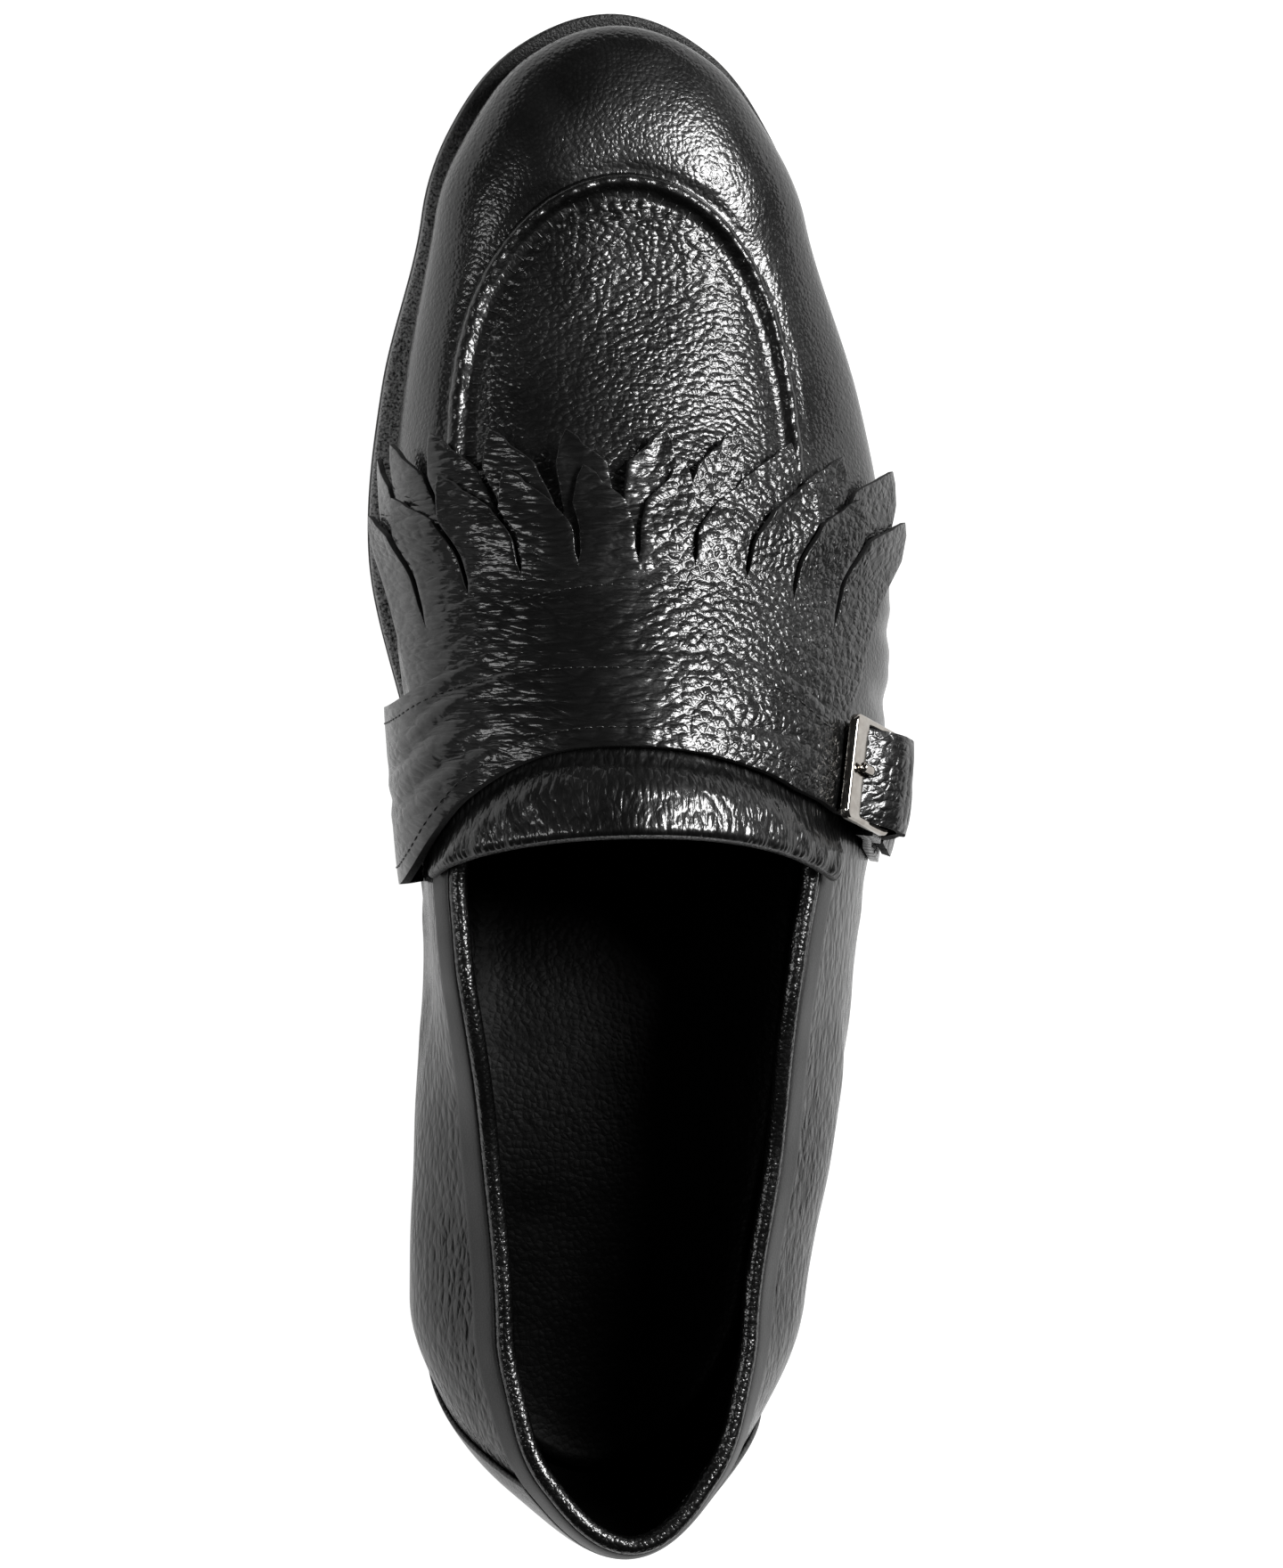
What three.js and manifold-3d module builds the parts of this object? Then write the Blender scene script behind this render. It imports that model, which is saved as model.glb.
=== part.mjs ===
// Monk strap loafer with a fringed kiltie, right shoe.
// Millimetres. +X is the outer (lateral) side, +Y the toe, +Z up, ground at Z = 0.
// Every curved piece is worked out from one surface, skin(), the outer face of the upper.
import * as THREE from 'three';
import { mergeVertices } from 'three/addons/utils/BufferGeometryUtils.js';
import Module from 'manifold-3d';

const wasm = await Module();
wasm.setup();

// Driving sizes of the shoe
const LENGTH = 296;
const BALL_WIDTH = 96;
const INSTEP_RISE = 80;
const COLLAR_RISE = 52;
const TOE_SPRING = 11;
const HEEL_HEIGHT = 20;
const TOP_PIECE = 6;
const OUTSOLE = 4.5;
const WELT = 2.8;
const WELT_SEAT = 7;
const WALL = 2.2;
const INSOLE = 3;
const SEAT_GAP = 0.3;
const LAYER_GAP = 0.45;

// Sizes of the strip leather
const KILTIE_LEATHER = 1.2;
const TONGUE_LEATHER = 2.5;
const STRAP_LEATHER = 1.8;
const COUNTER_LEATHER = 1.3;
const SEAM_RISE = 1.2;
const SEAM_WIDTH = 5.5;
const BEAD_RADIUS = 1.4;
const STRAND_PITCH = 10.5;
const SLIT = 0.9;

// Sizes of the buckle
const BUCKLE_WIDTH = 20.5;
const BUCKLE_LENGTH = 16.4;
const BUCKLE_BAR = 3;
const BUCKLE_SIDE = 1.3;
const BUCKLE_THICKNESS = 1.6;
const PRONG_WIDTH = 1.8;
const PRONG_THICKNESS = 1.3;

// Places along the shoe
const HEEL_TURN = 0.152 * LENGTH;
const TOE_TURN = 0.865 * LENGTH;
const BREAST = 0.21 * LENGTH;
const TREAD_START = 0.557 * LENGTH;
const TREAD_END = 0.676 * LENGTH;
const STRAIGHT = TOE_TURN - HEEL_TURN;

// Sections of the upper, from the back of the heel to the toe tip.
// at: 0 to 1 turns round the heel, 1 to 2 runs straight, 2 to 3 turns round the toe.
// Reaches from the centre line are shares of BALL_WIDTH, m inner side and l outer side;
// heights above the feather line are shares of INSTEP_RISE.
const straightAt = (share) => 1 + (share * LENGTH - HEEL_TURN) / STRAIGHT;
const SECTIONS = [
  { at: 0, soleM: .427, soleL: .427, footM: .411, footL: .411,
    bulgeM: .453, bulgeL: .453, bulge: .21,
    shoulderM: .421, shoulderL: .421, shoulder: .65, ridgeX: -.01, ridge: 1.03 },
  { at: 1 / 3, soleM: .386, soleL: .386, footM: .37, footL: .37,
    bulgeM: .419, bulgeL: .419, bulge: .21,
    shoulderM: .339, shoulderL: .328, shoulder: .626, ridgeX: -.01, ridge: 1.03 },
  { at: 2 / 3, soleM: .354, soleL: .354, footM: .34, footL: .34,
    bulgeM: .394, bulgeL: .394, bulge: .2,
    shoulderM: .269, shoulderL: .26, shoulder: .576, ridgeX: -.01, ridge: 1.03 },
  { at: 1, soleM: .35, soleL: .354, footM: .335, footL: .339,
    bulgeM: .406, bulgeL: .41, bulge: .19,
    shoulderM: .26, shoulderL: .252, shoulder: .533, ridgeX: -.01, ridge: 1.03 },
  { at: straightAt(.27), soleM: .33, soleL: .408, footM: .318, footL: .396,
    bulgeM: .399, bulgeL: .475, bulge: .175,
    shoulderM: .292, shoulderL: .306, shoulder: .509, ridgeX: -.016, ridge: 1 },
  { at: straightAt(.389), soleM: .315, soleL: .463, footM: .302, footL: .448,
    bulgeM: .375, bulgeL: .524, bulge: .16,
    shoulderM: .34, shoulderL: .331, shoulder: .669, ridgeX: -.021, ridge: 1 },
  { at: straightAt(.507), soleM: .375, soleL: .526, footM: .349, footL: .505,
    bulgeM: .398, bulgeL: .583, bulge: .16,
    shoulderM: .344, shoulderL: .385, shoulder: .688, ridgeX: -.021, ridge: .92 },
  { at: straightAt(.635), soleM: .469, soleL: .547, footM: .417, footL: .526,
    bulgeM: .44, bulgeL: .594, bulge: .16,
    shoulderM: .349, shoulderL: .411, shoulder: .526, ridgeX: -.016, ridge: .714 },
  { at: straightAt(.75), soleM: .448, soleL: .505, footM: .403, footL: .484,
    bulgeM: .419, bulgeL: .526, bulge: .14,
    shoulderM: .323, shoulderL: .375, shoulder: .375, ridgeX: -.01, ridge: .494 },
  { at: 2, soleM: .375, soleL: .417, footM: .348, footL: .389,
    bulgeM: .363, bulgeL: .404, bulge: .11,
    shoulderM: .281, shoulderL: .313, shoulder: .268, ridgeX: -.005, ridge: .33 },
  { at: 7 / 3, soleM: .37, soleL: .385, footM: .331, footL: .348,
    bulgeM: .346, bulgeL: .363, bulge: .1,
    shoulderM: .271, shoulderL: .281, shoulder: .24, ridgeX: -.005, ridge: .33 },
  { at: 8 / 3, soleM: .397, soleL: .399, footM: .356, footL: .359,
    bulgeM: .37, bulgeL: .373, bulge: .094,
    shoulderM: .292, shoulderL: .292, shoulder: .201, ridgeX: -.005, ridge: .33 },
  { at: 3, soleM: .417, soleL: .417, footM: .374, footL: .374,
    bulgeM: .388, bulgeL: .388, bulge: .088,
    shoulderM: .307, shoulderL: .307, shoulder: .179, ridgeX: -.005, ridge: .33 },
];

// Edge of the collar seen from the side: y a share of LENGTH, rise above the feather of COLLAR_RISE
const COLLAR = [
  { y: -.04, rise: 1.03 },
  { y: .015, rise: 1 },
  { y: .08, rise: .9 },
  { y: .165, rise: .8 },
  { y: .265, rise: .775 },
  { y: .375, rise: .99 },
  { y: .41, rise: 1.02 },
  { y: .45, rise: 1.04 },
  { y: .49, rise: 1.16 },
  { y: .53, rise: 1.5 },
];

// Edges of the strap over the instep: a is the girth from the ridge in shares of BALL_WIDTH,
// positive outwards; front and rear edge in shares of LENGTH
const STRAP = [
  { a: -.95, front: .533, rear: .424 },
  { a: -.78, front: .54, rear: .428 },
  { a: -.52, front: .551, rear: .447 },
  { a: -.34, front: .57, rear: .494 },
  { a: -.2, front: .58, rear: .519 },
  { a: 0, front: .583, rear: .527 },
  { a: .23, front: .575, rear: .512 },
  { a: .45, front: .543, rear: .481 },
  { a: .62, front: .526, rear: .467 },
  { a: .86, front: .503, rear: .446 },
];

// Shared functions

const clamp = (t, low = 0, high = 1) => Math.min(Math.max(t, low), high);
const mix = (a, b, t) => a + (b - a) * t;
const ease = (t) => clamp(t) ** 2 * (3 - 2 * clamp(t));

// Smooth curve through one column of a table, level at its first and last row
function column(rows, x, key, value) {
  const last = rows.length - 1;
  let i = 0;
  while (i < last - 1 && x > key(rows[i + 1])) i++;
  const step = (j) => key(rows[j + 1]) - key(rows[j]);
  const rate = (j) => (value(rows[j + 1]) - value(rows[j])) / step(j);
  const slope = (j) => {
    if (j === 0 || j === last) return 0;
    return (rate(j - 1) * step(j) + rate(j) * step(j - 1)) / (step(j - 1) + step(j));
  };
  const h = step(i);
  const t = clamp((x - key(rows[i])) / h);
  return hermite(value(rows[i]), value(rows[i + 1]), slope(i) * h, slope(i + 1) * h, t);
}

function hermite(p0, p1, m0, m1, t) {
  const t2 = t * t;
  const t3 = t2 * t;
  return (2 * t3 - 3 * t2 + 1) * p0 + (t3 - 2 * t2 + t) * m0 + (3 * t2 - 2 * t3) * p1 + (t3 - t2) * m1;
}

// Underside of the outsole: seat of the heel, shank, flat tread, toe spring
function tread(y) {
  if (y <= BREAST) return HEEL_HEIGHT;
  if (y < TREAD_START) return HEEL_HEIGHT * (1 - ease((y - BREAST) / (TREAD_START - BREAST)));
  if (y <= TREAD_END) return 0;
  return TOE_SPRING * ((y - TREAD_END) / (LENGTH - TREAD_END)) ** 2;
}

const weltBase = (y) => tread(y) + OUTSOLE + SEAT_GAP;
const featherHeight = (y) => weltBase(y) + WELT + SEAT_GAP;

// Distance along the middle of the shoe, even through both turns
const HEEL_REACH = 0.41 * BALL_WIDTH;
const TOE_REACH = 0.37 * BALL_WIDTH;
const HEEL_ARC = HEEL_REACH * Math.PI / 2;
const TOE_ARC = TOE_REACH * Math.PI / 2;
function travel(at) {
  if (at < 1) return at * HEEL_ARC;
  if (at <= 2) return HEEL_ARC + (at - 1) * STRAIGHT;
  return HEEL_ARC + STRAIGHT + (at - 2) * TOE_ARC;
}

const section = (at, name) => column(SECTIONS, travel(at), (row) => travel(row.at), (row) => row[name]);
const reach = (at, side, name) => section(at, name + (side < 0 ? 'M' : 'L')) * BALL_WIDTH;

// Foot and direction in plan of one upright column; side is -1 inner, +1 outer
function spoke(at, side) {
  if (at < 1) {
    const turn = at * Math.PI / 2;
    return { y: HEEL_TURN, dx: side * Math.sin(turn), dy: -Math.cos(turn) };
  }
  if (at <= 2) return { y: HEEL_TURN + (at - 1) * STRAIGHT, dx: side, dy: 0 };
  const turn = (3 - at) * Math.PI / 2;
  return { y: TOE_TURN, dx: side * Math.sin(turn), dy: Math.cos(turn) };
}

// Slope of the ridge where the toe turn starts, so that the toe spokes leave it smoothly
const RIDGE_STEP = 0.004;
const ridgeHeight = (at) => featherHeight(spoke(at, 1).y) + section(at, 'ridge') * INSTEP_RISE;
function ridgeSlope(at) {
  const from = clamp(at, 1 + RIDGE_STEP, 2);
  return (ridgeHeight(from) - ridgeHeight(from - RIDGE_STEP)) / (RIDGE_STEP * STRAIGHT);
}
const TOE_SLOPE = ridgeSlope(2);

// Profile of one column as knots in its own upright plane (r outwards, z up)
function profileKnots(at, side) {
  const line = spoke(at, side);
  const foot = reach(at, side, 'foot');
  const footZ = featherHeight(line.y + line.dy * foot);
  const bulge = { r: reach(at, side, 'bulge'), z: footZ + section(at, 'bulge') * INSTEP_RISE };
  const shoulder = { r: reach(at, side, 'shoulder'), z: footZ + section(at, 'shoulder') * INSTEP_RISE };
  const top = { r: 0, z: ridgeHeight(at) };
  const lower = Math.hypot(shoulder.r - bulge.r, shoulder.z - bulge.z);
  const upper = Math.hypot(top.r - shoulder.r, top.z - shoulder.z);
  const lean = {
    r: (shoulder.r - bulge.r) / lower + (top.r - shoulder.r) / upper,
    z: (shoulder.z - bulge.z) / lower + (top.z - shoulder.z) / upper,
  };
  const size = Math.hypot(lean.r, lean.z);
  return {
    line, foot: { r: foot, z: footZ }, bulge, shoulder, top, lower, upper,
    lean: { r: lean.r / size, z: lean.z / size },
    rise: at > 2 ? -TOE_SLOPE * line.dy : 0,
    shift: section(at, 'ridgeX') * BALL_WIDTH,
  };
}

// Share of the way from foot to bulge at which the lower wall turns upright
const FOOT_TURN = 0.35;

// v: 0 feather, 1 bulge, 2 shoulder, 3 ridge
function profile(knots, v) {
  const { foot, bulge, shoulder, top, lower, upper, lean } = knots;
  if (v < 1) {
    const turnZ = mix(foot.z, bulge.z, FOOT_TURN);
    const w = [(1 - v) ** 2, 2 * v * (1 - v), v * v];
    return { r: w[0] * foot.r + (w[1] + w[2]) * bulge.r, z: w[0] * foot.z + w[1] * turnZ + w[2] * bulge.z };
  }
  if (v < 2) {
    return {
      r: hermite(bulge.r, shoulder.r, 0, lean.r * lower, v - 1),
      z: hermite(bulge.z, shoulder.z, lower, lean.z * lower, v - 1),
    };
  }
  return {
    r: hermite(shoulder.r, top.r, lean.r * upper, -upper, v - 2),
    z: hermite(shoulder.z, top.z, lean.z * upper, knots.rise * upper, v - 2),
  };
}

function onLast(at, side, v) {
  const knots = profileKnots(at, side);
  const { r, z } = profile(knots, v);
  const lift = v > 1 ? ease((z - knots.bulge.z) / (knots.top.z - knots.bulge.z)) : 0;
  return new THREE.Vector3(
    knots.line.dx * r + knots.shift * lift,
    knots.line.y + knots.line.dy * r,
    z,
  );
}

// Point at height h off the outer face of the upper; on the ridge both sides share one normal
const PROBE = 0.002;
function skin(at, side, v, h = 0) {
  const point = onLast(at, side, v);
  if (h === 0) return point;
  if (v === 3) return point.addScaledVector(new THREE.Vector3(0, -ridgeSlope(at), 1).normalize(), h);
  const along = onLast(Math.min(at + PROBE, 3), side, v).sub(onLast(Math.max(at - PROBE, 0), side, v));
  const up = onLast(at, side, Math.min(v + PROBE, 3)).sub(onLast(at, side, Math.max(v - PROBE, 0)));
  const normal = along.cross(up).multiplyScalar(side).normalize();
  return point.addScaledVector(normal, h);
}

// Girth along a section from the ridge down to the feather, as a list of v and length
const GIRTH_STEPS = 48;
const girths = new Map();
function girthTable(at, side) {
  const name = `${at.toFixed(6)} ${side}`;
  if (girths.has(name)) return girths.get(name);
  const table = [{ v: 3, length: 0 }];
  let before = onLast(at, side, 3);
  for (let i = 1; i <= GIRTH_STEPS; i++) {
    const v = 3 - 3 * i / GIRTH_STEPS;
    const point = onLast(at, side, v);
    table.push({ v, length: table[i - 1].length + point.distanceTo(before) });
    before = point;
  }
  girths.set(name, table);
  return table;
}

// Point of the instep: a is the girth from the ridge, y the place along, h the height off the skin
function wrap(a, y, h) {
  const at = straightAt(y / LENGTH);
  const side = a < 0 ? -1 : 1;
  const table = girthTable(at, side);
  let i = 1;
  while (i < GIRTH_STEPS && table[i].length < Math.abs(a)) i++;
  const share = clamp((Math.abs(a) - table[i - 1].length) / (table[i].length - table[i - 1].length));
  return skin(at, side, mix(table[i - 1].v, table[i].v, share), h);
}

// Closed meshes

// Corners nearer than this are one corner
const SAME_CORNER = 1e-4;

// Triangles from quads of shared corners, without empty ones, facing out
function closedGeometry(points, quads) {
  const flat = new THREE.BufferGeometry();
  const numbers = points.flatMap((p) => [p.x, p.y, p.z]);
  flat.setAttribute('position', new THREE.Float32BufferAttribute(numbers, 3));
  flat.setIndex(quads.flatMap(([a, b, c, d]) => [a, b, c, a, c, d]));
  const merged = mergeVertices(flat, SAME_CORNER);
  const index = merged.index.array;
  const position = merged.getAttribute('position');
  const kept = [];
  let volume = 0;
  const corner = [new THREE.Vector3(), new THREE.Vector3(), new THREE.Vector3()];
  for (let i = 0; i < index.length; i += 3) {
    const [a, b, c] = [index[i], index[i + 1], index[i + 2]];
    if (a === b || b === c || c === a) continue;
    kept.push(a, b, c);
    corner.forEach((p, j) => p.fromBufferAttribute(position, index[i + j]));
    volume += corner[0].dot(corner[1].cross(corner[2]));
  }
  if (volume < 0) kept.reverse();
  merged.setIndex(kept);
  return merged;
}

// Grid whose columns close into a ring; its first and last row fold shut, or rows close too
function ringGeometry(columns, rows, place, rowsClose = false) {
  const points = [];
  for (let i = 0; i < columns; i++) for (let j = 0; j < rows; j++) points.push(place(i, j));
  const quads = [];
  const rowEnd = rowsClose ? rows : rows - 1;
  for (let i = 0; i < columns; i++) {
    const next = (i + 1) % columns;
    for (let j = 0; j < rowEnd; j++) {
      const up = (j + 1) % rows;
      quads.push([i * rows + j, next * rows + j, next * rows + up, i * rows + up]);
    }
  }
  return closedGeometry(points, quads);
}

// Slab between two faces; place(u, v, w) gives the lower face at w = 0 and the upper at w = 1.
// Slabs that share an edge leave out its wall there and merge into one body.
const ALL_WALLS = { start: true, end: true, left: true, right: true };
function slabFaces(uSteps, vSteps, place, walls = ALL_WALLS) {
  const points = [];
  const id = (i, j, w) => (i * (vSteps + 1) + j) * 2 + w;
  for (let i = 0; i <= uSteps; i++) {
    for (let j = 0; j <= vSteps; j++) {
      points.push(place(i / uSteps, j / vSteps, 0), place(i / uSteps, j / vSteps, 1));
    }
  }
  const quads = [];
  for (let i = 0; i < uSteps; i++) {
    for (let j = 0; j < vSteps; j++) {
      quads.push([id(i, j, 1), id(i + 1, j, 1), id(i + 1, j + 1, 1), id(i, j + 1, 1)]);
      quads.push([id(i, j, 0), id(i, j + 1, 0), id(i + 1, j + 1, 0), id(i + 1, j, 0)]);
    }
  }
  for (let i = 0; i < uSteps; i++) {
    if (walls.start) quads.push([id(i, 0, 0), id(i + 1, 0, 0), id(i + 1, 0, 1), id(i, 0, 1)]);
    if (walls.end) {
      quads.push([id(i + 1, vSteps, 0), id(i, vSteps, 0), id(i, vSteps, 1), id(i + 1, vSteps, 1)]);
    }
  }
  for (let j = 0; j < vSteps; j++) {
    if (walls.left) quads.push([id(0, j + 1, 0), id(0, j, 0), id(0, j, 1), id(0, j + 1, 1)]);
    if (walls.right) {
      quads.push([id(uSteps, j, 0), id(uSteps, j + 1, 0), id(uSteps, j + 1, 1), id(uSteps, j, 1)]);
    }
  }
  return { points, quads };
}

function joinFaces(list) {
  const points = [];
  const quads = [];
  for (const part of list) {
    const first = points.length;
    points.push(...part.points);
    quads.push(...part.quads.map((quad) => quad.map((corner) => corner + first)));
  }
  return closedGeometry(points, quads);
}

const slabGeometry = (uSteps, vSteps, place) => joinFaces([slabFaces(uSteps, vSteps, place)]);

function toManifold(geometry) {
  const bare = geometry.clone();
  bare.deleteAttribute('normal');
  bare.deleteAttribute('uv');
  const closed = mergeVertices(bare, SAME_CORNER);
  return new wasm.Manifold(new wasm.Mesh({
    numProp: 3,
    vertProperties: new Float32Array(closed.getAttribute('position').array),
    triVerts: new Uint32Array(closed.index.array),
  }));
}

// Cuts leave slivers, which are taken out where they are thinner than this
const SLIVER = 0.005;
function fromManifold(solid) {
  const mesh = solid.simplify(SLIVER).getMesh();
  const geometry = new THREE.BufferGeometry();
  geometry.setAttribute('position', new THREE.BufferAttribute(mesh.vertProperties, 3));
  geometry.setIndex(new THREE.BufferAttribute(mesh.triVerts, 1));
  return geometry;
}

// Columns round the shoe: outer side from heel to toe, then the inner side back
const HEEL_SPOKES = 7;
const SHANK_SPOKES = 2;
const FORE_SPOKES = 21;
const TOE_SPOKES = 7;
function oneSide() {
  const list = [];
  for (let i = 0; i < HEEL_SPOKES; i++) list.push(i / HEEL_SPOKES);
  const breastAt = straightAt(BREAST / LENGTH);
  for (let i = 0; i < SHANK_SPOKES; i++) list.push(mix(1, breastAt, i / SHANK_SPOKES));
  for (let i = 0; i < FORE_SPOKES; i++) list.push(mix(breastAt, 2, i / FORE_SPOKES));
  for (let i = 0; i <= TOE_SPOKES; i++) list.push(2 + i / TOE_SPOKES);
  return list;
}
const SIDE = oneSide();
const RING = [
  ...SIDE.map((at) => ({ at, side: 1 })),
  ...SIDE.slice(1, -1).reverse().map((at) => ({ at, side: -1 })),
];

// Point on the centre line under or over a column
const middle = (at, z) => new THREE.Vector3(0, spoke(at, 1).y, z);

// Closed form of the whole last at height h off the skin; drop lengthens it below the feather
const WALL_LEVELS = [0, .4, 1, 1.35, 1.7, 2, 2.2, 2.4, 2.6, 2.8, 3];
function lastForm(h, drop) {
  const feet = [-2, -1];
  const levels = drop > 0 ? [...feet, ...WALL_LEVELS] : [feet[0], ...WALL_LEVELS];
  return ringGeometry(RING.length, levels.length, (i, j) => {
    const { at, side } = RING[i];
    const level = levels[j];
    const foot = skin(at, side, 0, h);
    foot.z = featherHeight(foot.y);
    if (level === -2) return middle(at, featherHeight(spoke(at, side).y) - drop);
    if (level === -1) return foot.setZ(foot.z - drop);
    if (level === 0) return foot;
    return skin(at, side, level, h);
  });
}

// Plate prism along X from an outline in y and z
const HALF_SPAN = BALL_WIDTH;
function prismAcross(outline) {
  const shape = new THREE.Shape(outline.map(([y, z]) => new THREE.Vector2(y, z)));
  const prism = new THREE.ExtrudeGeometry(shape, { depth: 2 * HALF_SPAN, bevelEnabled: false });
  const turn = new THREE.Matrix4().makeBasis(
    new THREE.Vector3(0, 1, 0), new THREE.Vector3(0, 0, 1), new THREE.Vector3(1, 0, 0));
  prism.applyMatrix4(turn);
  prism.translate(-HALF_SPAN, 0, 0);
  return prism;
}

// Height of the collar edge at a place along the shoe
function collarHeight(y) {
  const rise = column(COLLAR, y / LENGTH, (row) => row.y, (row) => row.rise);
  return featherHeight(y) + rise * COLLAR_RISE;
}

// Materials

const leather = (color, roughness) => new THREE.MeshStandardMaterial({ color, roughness, metalness: 0 });
const GRAIN = leather(0x121212, 0.38);
const SMOOTH = leather(0x1a1a1a, 0.45);
const LINING = leather(0x0d0d0d, 0.7);
const SOLE_LEATHER = leather(0x171514, 0.6);
const RUBBER = leather(0x101010, 0.8);
const NICKEL = new THREE.MeshStandardMaterial({ color: 0xbdb8b2, roughness: 0.15, metalness: 1 });

const shoe = new THREE.Group();
function addPiece(name, geometry, material) {
  const mesh = new THREE.Mesh(geometry, material);
  mesh.name = name;
  shoe.add(mesh);
  return mesh;
}

// Sole: outsole, welt, heel

const soleEdge = (at, side, inset = 0) => {
  const line = spoke(at, side);
  const r = reach(at, side, 'sole') - inset;
  return { x: line.dx * r, y: line.y + line.dy * r };
};

// Rows of the outsole section: share of the reach, share of the thickness, edge inset
const OUTSOLE_ROWS = [
  { out: 0, up: 0, inset: 0 },
  { out: .55, up: 0, inset: 0 },
  { out: 1, up: 0, inset: 1 },
  { out: 1, up: .35, inset: 0 },
  { out: 1, up: 1, inset: 0 },
  { out: .55, up: 1, inset: 0 },
  { out: 0, up: 1, inset: 0 },
];
function outsole() {
  return ringGeometry(RING.length, OUTSOLE_ROWS.length, (i, j) => {
    const { at, side } = RING[i];
    const row = OUTSOLE_ROWS[j];
    const edge = soleEdge(at, side, row.inset);
    const centreY = spoke(at, side).y;
    const y = mix(centreY, edge.y, row.out);
    return new THREE.Vector3(edge.x * row.out, y, tread(y) + row.up * OUTSOLE);
  });
}

// Strip under the edge of the upper, seen as a ledge round the forepart
function welt() {
  const corners = [[0, 0], [0, 1], [1, 1], [1, 0]];
  return ringGeometry(RING.length, corners.length, (i, j) => {
    const { at, side } = RING[i];
    const [inner, up] = corners[j];
    const inset = reach(at, side, 'sole') - reach(at, side, 'foot') + WELT_SEAT;
    const edge = soleEdge(at, side, inner * inset);
    return new THREE.Vector3(edge.x, edge.y, weltBase(edge.y) + up * WELT);
  }, true);
}

// Heel block outline, open breast towards the shank
const BREAST_INSET = 2;
const BREAST_HOLLOW = 3;
const HEEL_STEPS = 10;
function heelShape(inset) {
  const breastY = BREAST - BREAST_INSET;
  const outline = [];
  const walk = (side, order) => {
    for (let i = 0; i <= HEEL_STEPS; i++) {
      const share = order > 0 ? i / HEEL_STEPS : 1 - i / HEEL_STEPS;
      const at = mix(0, straightAt(breastY / LENGTH), share);
      const edge = soleEdge(at, side, inset);
      outline.push(new THREE.Vector2(edge.x, edge.y));
    }
  };
  walk(1, 1);
  outline.push(new THREE.Vector2(0, breastY - BREAST_HOLLOW));
  walk(-1, -1);
  outline.pop();
  return new THREE.Shape(outline);
}

const STACK_INSET = 1;
const TOP_PIECE_INSET = 1.6;
function heelBlock(inset, base, height) {
  const block = new THREE.ExtrudeGeometry(heelShape(inset), { depth: height, bevelEnabled: false });
  block.translate(0, 0, base);
  return block;
}

// Sock and insole board in one, on the welt inside the upper
const INSOLE_MARGIN = 0.5;
function insole() {
  const rows = [0, 0, 1, 1];
  return ringGeometry(RING.length, rows.length, (i, j) => {
    const { at, side } = RING[i];
    const line = spoke(at, side);
    const r = j === 0 || j === 3 ? 0 : reach(at, side, 'foot') - WALL - INSOLE_MARGIN;
    const y = line.y + line.dy * r;
    return new THREE.Vector3(line.dx * r, y, featherHeight(y) + rows[j] * INSOLE);
  });
}

// Upper: one hollow wall, open underneath and at the collar

const INNER_DROP = 10;
const ABOVE_ALL = 3 * COLLAR_RISE;
const COLLAR_STEPS = 22;
function collarCutter() {
  const outline = [];
  const first = COLLAR[0].y;
  const last = COLLAR[COLLAR.length - 1].y;
  for (let i = 0; i <= COLLAR_STEPS; i++) {
    const y = mix(first, last, i / COLLAR_STEPS) * LENGTH;
    outline.push([y, collarHeight(y)]);
  }
  outline.push([last * LENGTH, ABOVE_ALL], [first * LENGTH, ABOVE_ALL]);
  return prismAcross(outline);
}

const outerForm = toManifold(lastForm(0, 0));
const innerForm = toManifold(lastForm(-WALL, INNER_DROP));
const upper = outerForm.subtract(innerForm).subtract(toManifold(collarCutter()));

// Overlays cut from a second skin

// Raised seam round the apron: an arch in plan, cut from a shell over the upper
const APRON_HALF = 0.344 * BALL_WIDTH;
const APRON_BACK = 0.672 * LENGTH;
const APRON_APEX = 0.887 * LENGTH;
const APRON_POWER = 3;
const APRON_STEPS = 18;
function apronArch(offset) {
  const points = [];
  for (let i = -APRON_STEPS; i <= APRON_STEPS; i++) {
    const t = 1 - Math.abs(i / APRON_STEPS) ** 2;
    const x = Math.sign(i) * APRON_HALF * Math.sqrt(1 - t ** APRON_POWER);
    points.push(new THREE.Vector2(x, mix(APRON_BACK, APRON_APEX, t)));
  }
  return points.map((p, i) => {
    const before = points[Math.max(i - 1, 0)];
    const after = points[Math.min(i + 1, points.length - 1)];
    const across = after.clone().sub(before).normalize();
    return new THREE.Vector2(p.x - across.y * offset, p.y + across.x * offset);
  });
}

function apronBand() {
  const outline = [...apronArch(SEAM_WIDTH / 2), ...apronArch(-SEAM_WIDTH / 2).reverse()];
  return new THREE.ExtrudeGeometry(new THREE.Shape(outline), { depth: ABOVE_ALL, bevelEnabled: false });
}

const shell = (low, high) => toManifold(lastForm(high, 0)).subtract(toManifold(lastForm(low, INNER_DROP)));
const apronSeam = shell(SEAT_GAP, SEAT_GAP + SEAM_RISE).intersect(toManifold(apronBand()));

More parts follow.
